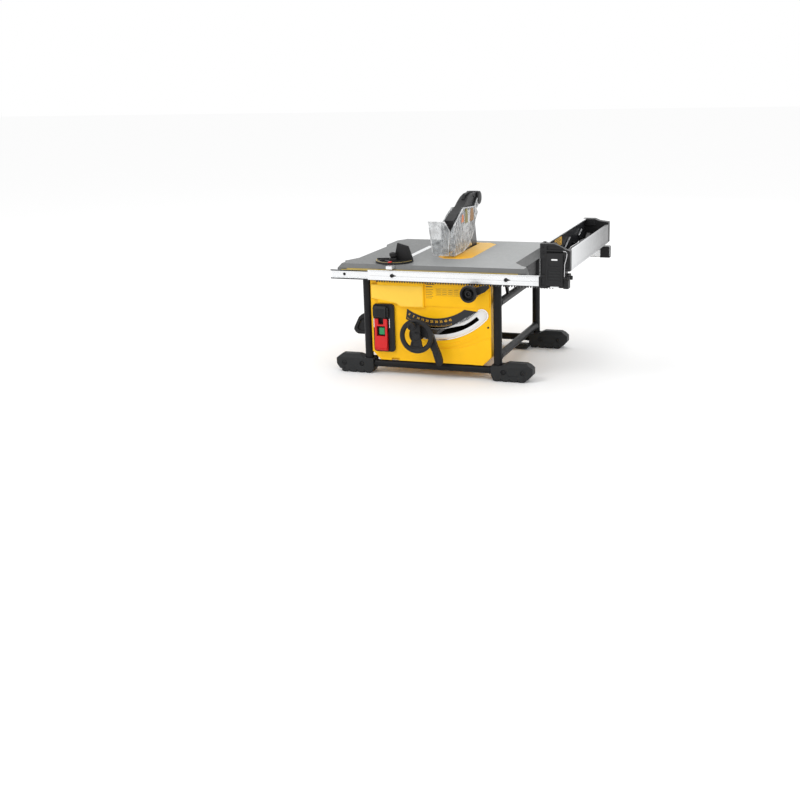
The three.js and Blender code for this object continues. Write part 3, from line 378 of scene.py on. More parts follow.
def softened(obj, width, segments=3, degrees=32):
    """Rounds the edges that are sharper than an angle; the rounding takes the edge finish, partly wear and
    partly painted highlight.
    """
    cleaned(obj)
    bevel = obj.modifiers.new("bevel", "BEVEL")
    bevel.width = width
    bevel.segments = segments
    bevel.limit_method = "ANGLE"
    bevel.angle_limit = math.radians(degrees)
    bevel.material = 1
    bevel.use_clamp_overlap = True
    obj.data.materials.clear()
    for material in PLASTIC:
        obj.data.materials.append(material)
    return baked(obj)


def cad_copy(node):
    """A copy of a CAD node's mesh, in the saw's own millimetres."""
    obj = bpy.data.objects.new("draft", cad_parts[node].data.copy())
    bpy.context.scene.collection.objects.link(obj)
    obj.data.transform(FROM_ROW)
    for layer in ("custom_normal", "sharp_edge", "sharp_face"):
        if layer in obj.data.attributes:
            obj.data.attributes.remove(obj.data.attributes[layer])
    return cleaned(obj)


def piece(obj, name, body, finish, replaces=(), sharp=38):
    """Names, places, finishes and mounts one piece on its CAD body."""
    obj.name = obj.data.name = name
    obj.data.transform(TO_ROW)
    had_edges = len(obj.data.materials) > 1
    obj.data.materials.clear()
    for material in finish if had_edges else finish[:1]:
        obj.data.materials.append(material)
    obj.data.shade_smooth()
    obj.data.set_sharp_from_angle(angle=math.radians(sharp))
    normals = obj.modifiers.new("normals", "WEIGHTED_NORMAL")
    normals.keep_sharp = True
    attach(obj, body)
    if replaces:
        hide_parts(*replaces)
    return obj


def moulding(obj, node, body, finish, **rest):
    """A drawn piece that stands for a CAD node."""
    return piece(obj, node + "_moulding", body, finish, (node,), **rest)


def refined(node, body, finish, width=0.6, segments=2, name=None):
    """A CAD node with cleaned faces and rounded edges, standing for the node."""
    return piece(softened(cad_copy(node), width, segments), name or node + "_finished", body, finish, (node,))


def tidied(node, finish):
    """A CAD node that keeps its own shape and gets a procedural finish."""
    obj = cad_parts[node]
    obj.data.materials.clear()
    obj.data.materials.append(finish[0])


def screw_head(axis, a, b, c, side, radius=4.0, depth=2.0):
    """Domed screw head with a hexagon socket, standing out from c towards side."""
    dome = lathe([(radius, c), (radius, c + side * depth * 0.6), (radius * 0.8, c + side * depth),
                  (0, c + side * depth)], axis, a, b, 24)
    socket = prism(arc(a, b, radius * 0.5, 0, 300, 5), axis, c + side * depth * 0.3, c + side * (depth + 1))
    return cut(dome, socket)


# ---- cage ------------------------------------------------------------------------------
TUBE = 12.2  # radius of the legs
LEG_X = {"left": -212.4, "right": 189.7}
LEG_Y = (-220, 216)
SIDE_TUBES = (69, 226)


def side_frame(side):
    x = LEG_X[side]
    low, high = span(side + "_side_frame")
    legs = [rod("z", x, y, TUBE, low.z, high.z, 40) for y in LEG_Y]
    rails = [rod("y", x, z, TUBE - 1, LEG_Y[0], LEG_Y[1], 40) for z in SIDE_TUBES]
    beads = [
        lathe([(TUBE - 1 + 1.6 * math.cos(t), y + way * (TUBE + 0.4) + 1.6 * math.sin(t)) for t in
               [math.pi * k / 4 for k in range(9)]], "y", x, z, 32)
        for z in SIDE_TUBES for y, way in ((LEG_Y[0], 1), (LEG_Y[1], -1))
    ]
    strut = prism([(-150, 296), (-138, 296), (-98, SIDE_TUBES[1]), (-112, SIDE_TUBES[1])], "x", x - 4, x + 4)
    shape = fused(legs[0], legs[1])
    for rail in rails:
        fused(shape, rail)
    gusset = prism([(104, SIDE_TUBES[1]), (206, SIDE_TUBES[1]), (206, 296), (88, 296)], "x", x - 4, x + 4)
    parts = [shape, softened(strut, 0.8, 2), softened(gusset, 0.8, 2), *beads]
    if side == "left":
        plate = pad("x", -178, -122, 52, 244, 8, low.x, x - TUBE + 3)
        parts.append(softened(plate, 1.0, 2))
    piece(joined(*parts), side + "_frame_tubes", "root", PAINT, (side + "_side_frame",))


def cross_tube(which):
    low, high = span(which + "_cross_tube")
    centre = (low + high) / 2
    tube = rod("x", centre.y, centre.z, (high.z - low.z) / 2, low.x, high.x, 40)
    collars = [
        lathe([(11, x), (12, x + 1), (12, x + 9), (11, x + 10)], "x", centre.y, centre.z, 40)
        for x in (low.x, high.x - 10)
    ]
    piece(joined(tube, *collars), which + "_cross_tube_finished", "root", PAINT, (which + "_cross_tube",))


FOOT = {"inner": 17, "outer": 106, "lobes": 4, "depth": 44, "bolt_z": 28, "bolts": (20, 78)}
FOOT_BEFORE_LEG = {"front": 17, "rear": 27}  # from a foot's front face back to its leg


def foot(end, side):
    """Moulded foot with a scalloped sole, sloping ends, recessed bolts and a raised top rib."""
    node = f"{end}_{side}_foot"
    low, high = span(node)
    leg_y = LEG_Y[0] if end == "front" else LEG_Y[1]
    low.y = leg_y - FOOT_BEFORE_LEG[end]
    high.y = low.y + FOOT["depth"]
    way = -1 if side == "left" else 1
    leg = LEG_X[side]
    inner, outer, top = FOOT["inner"], FOOT["outer"], high.z
    pitch = (outer + inner - 22) / FOOT["lobes"]
    points = [(-inner, 46), (-inner, 15)]
    for k in range(FOOT["lobes"]):
        start = -inner + 4 + k * pitch
        points += [(start + pitch * (0.5 - 0.47 * math.cos(t)), 8.5 - 8.5 * math.sin(t) ** 0.55)
                   for t in [math.pi * n / 10 for n in range(11)]]
    points += [(outer - 12, 9), (outer, 22), (outer, 40), (outer - 20, top), (outer - 74, top), (20, 49),
               (14, 46)]
    body = prism([(leg + way * x, z) for x, z in points], "y", low.y, high.y)
    centre_y = (low.y + high.y) / 2
    for vert in body.data.vertices:  # the end draws in
        reach = way * (vert.co.x - leg)
        vert.co.y -= math.copysign(8 * max(0.0, (reach - outer + 24) / 24), vert.co.y - centre_y)
    for face, out in ((low.y, -1), (high.y, 1)):  # the long upper edges slope
        shoulder = prism([(face + out, top - 13), (face + out, top + 2), (face - out * 13, top + 2)], "x",
                         *sorted((leg + way * 16, leg + way * (outer + 4))))
        cut(body, shoulder)
        groove = pad("y", *sorted((leg + way * 30, leg + way * 68)), 17, 39, 6,
                     *sorted((face - out * 1.4, face + out * 8)))
        cut(body, groove)
    cut(body, rod("z", leg, leg_y, TUBE + 0.4, 23.5, 80))
    bolts = []
    for reach in FOOT["bolts"]:
        for face, out in ((low.y, -1), (high.y, 1)):
            x = leg + way * reach
            cut(body, rod("y", x, FOOT["bolt_z"], 8, face - out * 3.2, face + out * 6, 32))
            bolts.append(screw_head("y", x, FOOT["bolt_z"], face - out * 3.1, out, 5.6, 2.6))
    ribs = [block(*sorted((leg + way * a, leg + way * (a + 2.4))), low.y + 0.2, high.y - 0.2, 7, 14)
            for a in range(8, 100, 24)]
    moulding(softened(body, 1.6, 3, 24), node, "root", CHARCOAL)
    piece(joined(*bolts, *ribs), f"{node}_bolts", "root", SCREW)
    if end == "rear":
        toe = block(*sorted((leg - way * 66, leg - way * 14)), leg_y - 60, leg_y - 16, 3, 13)
        ridge = block(*sorted((leg - way * 62, leg - way * 18)), leg_y - 58, leg_y - 52, 12, 18)
        piece(softened(joined(toe, ridge), 1.6, 3), f"{node}_toe", "root", CHARCOAL)


def build_cage():
    for side in ("left", "right"):
        side_frame(side)
        for end in ("front", "rear"):
            foot(end, side)
    cross_tube("front")
    cross_tube("rear")


# ---- table -----------------------------------------------------------------------------
TAPE_BACK, TAPE_FRONT = 9.4, 0.6  # the tape's edges, in front of the rail's rear face


def build_table():
    cast = refined("table_top", "root", CAST_WITH_PAINTED_SHADE, 1.1, 3, "cast_table")
    cast.data.materials.append(TABLE_SIDE_PAINTED_SHADE)
    for face in cast.data.polygons:
        if face.normal.z < 0.75:  # everything but the top and the rounding next to it takes the darker side grey: painted shade
            face.material_index = 2
    refined("throat_plate", "root", INSERT_PLATE, 0.7, 2, "throat_insert")
    low, high = span("throat_plate")
    screws = [screw_head("z", x, y, high.z - 0.9, 1, 3.2, 0.8)
              for x, y in ((low.x + 14, low.y + 14), (high.x - 12, high.y - 16))]
    piece(joined(*screws), "throat_insert_screws", "root", SCREW)
    back, top = span("front_fixed_rail")[1].yz
    low, high = span("table_top")
    line = block(low.x + 30, high.x - 26, low.y - 0.4, low.y + 0.4, 315, 319.4)
    piece(line, "table_front_line", "root", TAPE)
    tape = block(low.x + 14, high.x - 12, back - TAPE_BACK, back - TAPE_FRONT, top + 0.02, top + 0.7)
    piece(softened(tape, 0.15, 1), "rail_tape", "root", TAPE)
    ticks = [block(x - 0.25, x + 0.25, back - TAPE_BACK + 0.2, back - (5.2 if k % 5 else 2.5), top + 0.6,
                   top + 0.78)
             for k, x in enumerate(range(-260, 260, 5))]
    piece(joined(*ticks), "rail_tape_ticks", "root", INK)


# ---- rails -----------------------------------------------------------------------------
def rail_split(node, level, finish, lower_finish, body):
    """A rail as its plate above a level and its rack teeth or lower lip under it."""
    low, high = span(node)
    below = block(low.x - 5, high.x + 5, low.y - 5, high.y + 5, low.z - 9, level)
    above = block(low.x - 5, high.x + 5, low.y - 5, high.y + 5, level, high.z + 9)
    plate, teeth = cut(cad_copy(node), below), cut(cad_copy(node), above)
    piece(softened(plate, 0.35, 2), node + "_plate", body, finish, (node,))
    piece(softened(teeth, 0.12, 1), node + "_rack", body, lower_finish)


RAIL_EDGE = 3.4  # height of the dark edges of the fixed rail
RACK_TOP = 6.2  # above the lowest tooth
PIN_Z, PIN_X = 303.5, (-118, 226)  # fence locating pins


def build_rails():
    low, high = span("front_fixed_rail")
    refined("front_fixed_rail", "root", ALUMINIUM, 0.4, 2, "front_fixed_channel")
    refined("rear_fixed_rail", "root", ALUMINIUM, 0.4, 2, "rear_fixed_channel")
    edges = [block(low.x + 0.5, high.x - 0.5, low.y - 0.3, low.y + 0.6, z, z + RAIL_EDGE)
             for z in (low.z, high.z - RAIL_EDGE)]
    piece(softened(joined(*edges), 0.2, 1), "fixed_rail_edges", "root", DARK_STRIP_AND_SHADE)
    rail_screw = screw_head("y", low.x + 42, (low.z + high.z) / 2, high.y - 2.8, -1, 4.4, 0.7)
    piece(rail_screw, "fixed_rail_screw", "root", SCREW)
    for which in ("front", "rear"):
        node = which + "_moving_rail"
        # the rack teeth take the near-black finish: painted shade under the rail
        rail_split(node, span(node)[0].z + RACK_TOP, ALUMINIUM, DARK_STRIP_AND_SHADE, "rails")
    low, high = span("front_moving_rail")
    face = low.y
    # thin darker strips where the moving rail has fine grooves: painted shade in the grooves
    line = block(low.x + 6, high.x - 60, face - 0.15, face + 0.2, 301.6, 302.2)
    top_groove_shade = block(low.x + 6, high.x - 60, face - 0.15, face + 0.2, 315.8, 316.4)
    beads = [block(low.x + 2, high.x - 60, face - 0.5, face + 0.2, z, z + 1) for z in (294, 313.5)]
    piece(joined(line, top_groove_shade), "moving_rail_groove_shade", "rails", CASTING)
    piece(softened(joined(*beads), 0.2, 1), "moving_rail_beads", "rails", ALUMINIUM)
    for k, x in enumerate(PIN_X):
        pointer = prism([(x - 3, PIN_Z), (x + 4, PIN_Z + 3.5), (x + 14, PIN_Z), (x + 4, PIN_Z - 3.5)], "y",
                        face - 1.2, face - 0.05)
        head = screw_head("y", x, PIN_Z, face - 0.05, -1, 5.6, 4.2)
        piece(joined(softened(pointer, 0.3, 1), head), f"fence_locating_pin_{k + 1}", "rails", SCREW)
    low, high = span("rear_moving_rail")
    cap = block(high.x - 30.4, high.x + 0.3, low.y - 0.3, high.y + 0.3, low.z + 4.7, high.z + 0.3)
    piece(softened(cap, 1.5, 2), "rear_rail_end_cap", "rails", PLASTIC)


# ---- body ------------------------------------------------------------------------------
SLOT_IN, SLOT_OUT, SLOT_FROM, SLOT_TO = 186.5, 218.5, -17, 46
SLOT_MIDDLE = (SLOT_IN + SLOT_OUT) / 2


def arc_slot(half, y0, y1, start=SLOT_FROM, end=SLOT_TO):
    """Slot-shaped solid along an arc about the tilt axis, with round ends."""
    def cap(angle, flip):
        x, z = swing(SLOT_MIDDLE, angle)
        turns = [math.radians(angle + flip * t) for t in range(15, 180, 15)]
        return [(x + half * math.sin(t), z - half * math.cos(t)) for t in turns]

    near = swing_arc(SLOT_MIDDLE - half, start, end, 48)
    far = swing_arc(SLOT_MIDDLE + half, start, end, 48)[::-1]
    return prism(near + cap(end, 1)[::-1] + far + cap(start, -1), "y", y0, y1)


LABEL_PROUD = 3.2  # the printed field stands out from the panel


def front_panel():
    face = PANEL_FACE
    panel = cad_copy("front_panel")
    label_field = block(-31, 168, face - LABEL_PROUD, face + 1, 213, 294)
    fused(panel, label_field)
    block_face = prism([(-196, 229), (-176, 226), (-153, 222), (-117, 216), (-104, 207), (-31, 207),
                        (-31, 273), (-196, 273)], "y", face - 8.6, face + 1)
    # the raised box takes the paler yellow: painted sheen
    piece(softened(block_face, 4.5, 4), "front_panel_raised_box", "root", RAISED_YELLOW_PAINTED_SHEEN)
    hem = prism(swing_arc(236, -2, 33) + swing_arc(242, 33, -2), "y", face - 2.0, face + 1)
    fused(panel, hem)
    swell = prism([(2, 43), (145, 43), (171, 69), (171, 126), (148, 118), (123, 106), (96, 96), (66, 90),
                   (30, 86), (2, 84)], "y", face - 1.8, face + 1)
    fused(panel, swell)
    cut(panel, rod("y", RAIL_SHAFT[0], RAIL_SHAFT[1], 9, face - 10, face + 12))
    moulding(softened(panel, 2.2, 3, 30), "front_panel", "root", YELLOW)


def label_lines():
    """Rows of short bars where the real panel has a printed label, with no lettering."""
    y = PANEL_FACE - LABEL_PROUD
    bars = [block(x0, x1, y - 0.12, y + 0.3, z - 0.6, z + 0.6) for x0, x1, z in (
        *((-24, -2 - 4 * (k % 2), 262 - 5 * k) for k in range(6)),
        *((8 + 18 * c, 22 + 18 * c, 262 - 6.5 * k) for c in range(4) for k in range(3)),
    )]
    heads = [block(-24, x1, y - 0.12, y + 0.3, z - 1.4, z + 1.4) for x1, z in ((2, 277), (-4, 270))]
    frame_lines = [block(6, 80, y - 0.1, y + 0.3, z - 0.25, z + 0.25) for z in (266, 259, 252.5, 245)]
    piece(joined(*bars, *heads, *frame_lines), "panel_label_bars", "root", INK)


SCALE_ZERO, TICK_RADIUS = -28, 181  # angle of the scale's 0 from straight down, outer end of its ticks


def bevel_scale():
    y0, y1 = span("bevel_scale")[0].y, span("bevel_scale")[1].y
    outline = swing_arc(156, -33, 36) + swing_arc(185, 45, -29)
    plate = prism(outline, "y", y0 + 0.3, y1)
    piece(softened(plate, 0.5, 2), "bevel_scale_plate", "root", SCALE, ("bevel_scale",))
    marks = []
    for degree in range(46):
        angle = SCALE_ZERO + degree
        inner = TICK_RADIUS - (2.6 if degree % 5 else 5)
        tick = [*swing_arc(inner, angle - 0.1, angle + 0.1, 1),
                *swing_arc(TICK_RADIUS, angle + 0.1, angle - 0.1, 1)]
        marks.append(prism(tick, "y", y0 + 0.02, y0 + 0.5))
    for degree in range(0, 50, 5):
        marks.append(numeral(str(degree), SCALE_ZERO + degree, 166, y0))
    piece(joined(*marks), "bevel_scale_numerals", "root", NUMERALS)


def numeral(text, angle, radius, face):
    """A dial number standing upright on its radius, on a face that looks along -Y."""
    curve = bpy.data.curves.new("draft", "FONT")
    curve.body = text
    curve.size = 9.5
    curve.offset = 0.1
    curve.align_x = curve.align_y = "CENTER"
    curve.extrude = 0.2
    curve.resolution_u = 3
    obj = bpy.data.objects.new("draft", curve)
    bpy.context.scene.collection.objects.link(obj)
    bpy.context.view_layer.update()
    graph = bpy.context.evaluated_depsgraph_get()
    mesh = bpy.data.meshes.new_from_object(obj.evaluated_get(graph), depsgraph=graph)
    bpy.data.objects.remove(obj)
    x, z = swing(radius, angle)
    turn = Matrix.Rotation(-math.radians(angle), 4, "Y") @ Matrix.Rotation(math.pi / 2, 4, "X")
    mesh.transform(Matrix.Translation((x, face + 0.1, z)) @ turn)
    made = bpy.data.objects.new("draft", mesh)
    bpy.context.scene.collection.objects.link(made)
    return made


def bevel_slot():
    """Bright rim round the slot, and the lock plate behind it with a tapering opening."""
    face = PANEL_FACE
    rim = cut(arc_slot(19, face - 2.2, face + 4), arc_slot(16, face - 8, face + 9))
    scale_cut = prism(swing_arc(150, -34, 46) + swing_arc(185.4, 46, -34), "y", face - 6, face + 0.01)
    cut(rim, scale_cut)
    piece(softened(rim, 0.8, 2), "slot_rim", "root", CHROME)
    low, high = span("bevel_lock_plate")
    plate = arc_slot(20, low.y, high.y, -22, 45.5)
    opening = [*swing_arc(205.8, -14, 41), *swing_arc(194.2, 41, 27), *swing_arc(189, 10, -14)]
    cut(plate, prism(opening, "y", low.y - 2, high.y + 2))
    piece(softened(plate, 0.5, 2), "bevel_lock_plate_bright", "root", BRIGHT_PLATE, ("bevel_lock_plate",))
    shaft = cad_copy("height_shaft")
    ring = cut(rod("y", *WHEEL, 12, low.y - 3, high.y + 3), rod("y", *WHEEL, 5.2, low.y - 5, high.y + 5))
    piece(cut(shaft, ring), "height_shaft_necked", "handwheel", STEEL, ("height_shaft",))


def body_shell():
    shell = cad_copy("body_shell")
    low, high = span("body_shell")
    ribs = [block(low.x - 1.2, low.x + 0.2, y, y + 3, 90, 240) for y in range(-150, 160, 34)]
    for rib in ribs:
        softened(rib, 0.5, 1)
    shell = moulding(softened(shell, 2.0, 3, 30), "body_shell", "root", YELLOW)
    # faces that look into the shell take a near-black colour: painted shade inside the body
    shell.data.materials.append(SHADED)
    centre = TO_ROW @ Vector((-60, 0, 170))
    for face in shell.data.polygons:
        if face.normal.dot(centre - face.center) > 0:
            face.material_index = 2
    piece(joined(*ribs), "body_shell_ribs", "root", YELLOW)
    heads = [screw_head("y", x, z, high.y, 1, 4.4, 2.4)
             for x, z in ((low.x + 16, 280), (46, 280), (low.x + 34, 60), (46, 60))]
    heads.append(screw_head("y", 163, 156, PANEL_FACE, -1, 3.0, 1.4))
    piece(joined(*heads), "body_screws", "root", SCREW)


def switch():
    low, high = span("switch_plate")
    plate = pad("y", low.x, high.x, low.z, high.z, 9, low.y, high.y)
    well = pad("y", low.x + 5, high.x - 17, 71.5, 171, 4, low.y - 1, high.y - 2)
    groove = cut(
        pad("y", low.x + 2.4, high.x - 2.4, low.z + 2.4, high.z - 2.4, 7, low.y - 1, low.y + 0.7),
        pad("y", low.x + 3.4, high.x - 3.4, low.z + 3.4, high.z - 3.4, 6, low.y - 2, low.y + 2),
    )
    cut(plate, well)
    cut(plate, groove)
    moulding(softened(plate, 1.2, 3), "switch_plate", "root", PLASTIC)

    cap_low, cap_high = span("switch_cap")
    cap = prism([(cap_low.y + 3, cap_low.z), (cap_high.y, cap_low.z), (cap_high.y, cap_high.z),
                 (cap_low.y + 5, cap_high.z), (cap_low.y, cap_high.z - 7), (cap_low.y, cap_low.z + 3)],
                "x", cap_low.x + 6, cap_high.x - 6)
    for k in range(9):
        z = cap_low.z + 5 + k * 2.9
        cut(cap, block(cap_low.x + 9, cap_high.x - 9, cap_low.y - 1, cap_low.y + 0.9, z, z + 1.1))
    ears = [block(x, x + 5.4, cap_low.y + 5, cap_high.y, cap_low.z + 2, cap_high.z - 3)
            for x in (cap_low.x, cap_high.x - 5.4)]
    cap = joined(softened(cap, 0.6, 2), softened_set(ears, 1.0, 2))
    piece(cap, "switch_cap_ribbed", "root", CHARCOAL, ("switch_cap",))
    strips = [block(x, x + 2.2, low.y - 2.2, low.y - 0.05, 142, 170) for x in (low.x + 1.4, high.x - 15.5)]
    piece(softened_set(strips, 0.6, 2), "switch_side_strips", "root", ALUMINIUM)

    p_low, p_high = span("stop_paddle")
    paddle = cad_copy("stop_paddle")
    for k in range(6):
        z = p_low.z + 6 + k * 5.2
        ridge = rod("x", p_low.y + 2.0 + k * 0.55, z, 1.7, p_low.x + 2, p_high.x - 2, 12)
        fused(paddle, ridge)
    cut(paddle, block(p_low.x + 11, p_high.x - 11, p_low.y - 8, p_high.y + 8, 153, 175))
    moulding(softened(paddle, 1.1, 3), "stop_paddle", "stop_paddle", RED)
    b_low, b_high = span("start_button")
    button = pad("y", b_low.x, b_high.x, b_low.z, b_high.z, 2, b_low.y, b_high.y)
    piece(softened(button, 0.9, 3), "start_button_cap", "start_button", GREEN, ("start_button",))


def body_fittings():
    low, high = span("dust_port")
    x, z, radius = (low.x + high.x) / 2, (low.z + high.z) / 2, (high.z - low.z) / 2
    profile = [(radius - 3, low.y), (radius, low.y), (radius, low.y + 8), (radius - 1, low.y + 10),
               (radius - 1, high.y - 6), (radius, high.y - 4), (radius, high.y), (radius - 3, high.y),
               (radius - 3, low.y)]
    moulding(softened(lathe(profile, "y", x, z, 64), 0.5, 1, 50), "dust_port", "root", PLASTIC)
    low, high = span("cord_gland")
    x, z = (low.x + high.x) / 2, (low.z + high.z) / 2
    nut = prism(arc(x, z, 13, 0, 300, 5), "y", low.y, low.y + 8)
    sleeve = lathe([(9, low.y + 7), (9, low.y + 11), (8, low.y + 14), (7.4, high.y), (4.5, high.y),
                    (4.5, high.y - 8), (0, high.y - 8)], "y", x, z, 32)
    moulding(joined(softened(nut, 0.8, 2), sleeve), "cord_gland", "root", PLASTIC)


def build_body():
    front_panel()
    label_lines()
    bevel_scale()
    bevel_slot()
    body_shell()
    switch()
    body_fittings()


# ---- knobs and levers ------------------------------------------------------------------
def height_wheel():
    low, high = span("height_wheel")
    x, z = WHEEL
    front = low.y
    turn = [math.tau * k / 20 for k in range(20)]
    ring = [(44 + 7.4 * math.cos(t), front + 7 + 7 * math.sin(t)) for t in turn]
    rim = lathe([*ring, ring[0]], "y", x, z, 72)
    web = prism([(x - 24, z + 37), (x - 15, z + 16), (x - 13, z), (x - 15, z - 14), (x - 23, z - 37),
                 *arc(x, z, 43, 238, 296, 8), (x + 19, z - 37), (x + 13, z - 12), (x + 12, z + 10),
                 (x + 11, z + 38), *arc(x, z, 43, 76, 122, 6)], "y", front + 4, front + 11)
    pocket = prism([(x - 12, z - 16), (x - 15, z - 32), (x + 12, z - 32), (x + 8, z - 16)], "y", front + 2,
                   front + 6.5)
    cut(web, pocket)
    hub = lathe([(0, front), (9, front), (12.5, front + 2.5), (12.5, front + 16), (0, front + 16)], "y", x, z,
                40)
    nut = prism(arc(x, z, 6.5, 0, 300, 5), "y", front + 0.1, front + 3)
    wheel = joined(rim, softened(web, 1.4, 3), hub, softened(nut, 0.6, 2))
    moulding(wheel, "height_wheel", "handwheel", PLASTIC, sharp=34)
    c_low, c_high = span("crank_knob")
    cx, cz = (c_low.x + c_high.x) / 2, (c_low.z + c_high.z) / 2
    back, front = c_high.y, c_low.y
    profile = [(6, back), (8, back - 2), (8.6, back - 4), (10, back - 9), (12, front + 8), (11.6, front + 3),
               (9, front + 0.6), (5, front + 0.6), (4.4, front + 3), (0, front + 3)]
    moulding(lathe(profile, "y", cx, cz, 40), "crank_knob", "crank", PLASTIC, sharp=50)


def bevel_lever():
    x, z = WHEEL
    low, high = span("bevel_lock_lever")
    handle = [(x + 28, z - 24), (x + 41, z - 48), (x + 46, z - 66), (x + 51, z - 82), (x + 57, z - 89),
              (x + 65, z - 90), (x + 71, z - 84), (x + 71, z - 72), (x + 66, z - 54), (x + 56, z - 30),
              (x + 46, z - 2), (x + 34, z + 20)]
    lever = prism(arc(x, z, 29, 60, 285, 24) + handle, "y", low.y, high.y)
    cut(lever, rod("y", x, z, 8.8, low.y - 5, high.y + 5))
    window = [*arc(x, z, 16, 340, 285, 4), *arc(x, z, 37, 285, 340, 6)]
    cut(lever, prism(window, "y", low.y - 5, high.y + 5))
    dish = prism([(x + 50, z - 62), (x + 55, z - 82), (x + 62, z - 86), (x + 67, z - 80), (x + 66, z - 66),
                  (x + 58, z - 48)], "y", low.y - 1, low.y + 1.6)
    cut(lever, dish)
    moulding(softened(lever, 2.6, 4), "bevel_lock_lever", "bevel_lock", PLASTIC)


def rail_controls():
    x, z = RAIL_SHAFT
    low, high = span("rail_knob")
    back, front = high.y, low.y
    profile = [(5.4, back), (14, back), (20, back - 4), (24, back - 11), (25, back - 17), (25, front + 4),
               (23.5, front + 0.8), (21, front), (19, front + 1), (17.5, front + 6), (16, back - 8),
               (10.5, back - 8), (10, front + 5), (9, front + 4), (6.5, front + 4), (5.4, front + 5.5),
               (5.4, back)]
    knob = lathe(profile, "y", x, z, 72)
    for k in range(18):
        angle = math.tau * k / 18
        flute = rod("y", x + 26.1 * math.cos(angle), z + 26.1 * math.sin(angle), 1.9, back - 9, front - 2, 12)
        cut(knob, flute)
    moulding(softened(knob, 0.5, 2, 40), "rail_knob", "rail_drive", PLASTIC)
    boss = lathe([(0, front + 9), (3.4, front + 9), (4.6, front + 7), (4.6, back), (0, back)], "y", x, z, 24)
    piece(boss, "rail_knob_boss", "rail_drive", SCREW)
    low, high = span("rail_lock_lever")
    lever = prism([*arc(x, z, 15, 60, 330, 20), (x + 24, z - 6), (x + 40, z + 2), (x + 52, z + 12),
                   (x + 55, z + 17), (x + 50, z + 23), (x + 30, z + 20)], "y", low.y, high.y)
    cut(lever, rod("y", x, z, 5.8, low.y - 5, high.y + 5))
    moulding(softened(lever, 2.4, 4), "rail_lock_lever", "rail_lock", PLASTIC)


def storage_knob():
    low, high = span("storage_knob")
    y, z = (low.y + high.y) / 2, 138
    stem = rod("x", y, z, 8, high.x - 18, high.x, 24)
    wing = prism([(high.x - 17, z - 36), (high.x - 42, z - 36), (high.x - 51, z - 31), (high.x - 57, z - 22),
                  (high.x - 55, z - 14), (high.x - 39, z + 17), (high.x - 30, z + 25), (high.x - 17, z + 28)],
                 "y", low.y, high.y)
    hollow = prism([(high.x - 22, z - 26), (high.x - 38, z - 24), (high.x - 44, z - 18), (high.x - 33, z + 8),
                    (high.x - 22, z + 14)], "y", low.y - 1, low.y + 5)
    cut(wing, hollow)
    moulding(joined(stem, softened(wing, 4, 4)), "storage_knob", "storage_knob", PLASTIC)


# ---- fence -----------------------------------------------------------------------------
def fence_faces():
    low, high = span("fence_left_face")
    wall, lip = 4, 11
    profile = [(low.x, low.z), (low.x + wall, low.z), (low.x + wall, high.z - 3.2),
               (low.x + lip, high.z - 3.2), (low.x + lip, high.z), (low.x, high.z)]
    left = prism(profile, "y", low.y, high.y)
    piece(softened(left, 0.6, 2), "fence_left_extrusion", "rails", LONG_ALUMINIUM, ("fence_left_face",))
    # dark sheet on the inner face of the left wall: painted shade inside the fence
    left_shade_sheet = block(low.x + wall + 0.1, low.x + wall + 1.4, low.y + 1, high.y - 1, low.z + 8, high.z - 3.6)
    piece(softened(left_shade_sheet, 0.3, 1), "fence_left_shade_sheet", "rails", SCALE)
    low, high = span("fence_right_face")
    right = prism([(low.x, low.z), (high.x, low.z), (high.x, high.z), (low.x - 3.5, high.z),
                   (low.x - 3.5, high.z - 3), (low.x, high.z - 3)], "y", low.y, high.y)
    for z in (low.z + 5, low.z + 8):
        cut(right, block(high.x - 0.5, high.x + 1, low.y - 1, high.y + 1, z, z + 0.9))
    # the fence's right face darkens towards the rear: painted reflection
    piece(softened(right, 0.6, 2), "fence_right_extrusion", "rails", BRUSHED_PAINTED_REFLECTION, ("fence_right_face",))
    # dark sheet on the inner face of the right wall: painted shade inside the fence
    inner = block(low.x - 1.4, low.x - 0.1, low.y + 1, high.y - 1, low.z + 6, high.z - 4)
    piece(softened(inner, 0.3, 1), "fence_right_shade_sheet", "rails", SCALE)


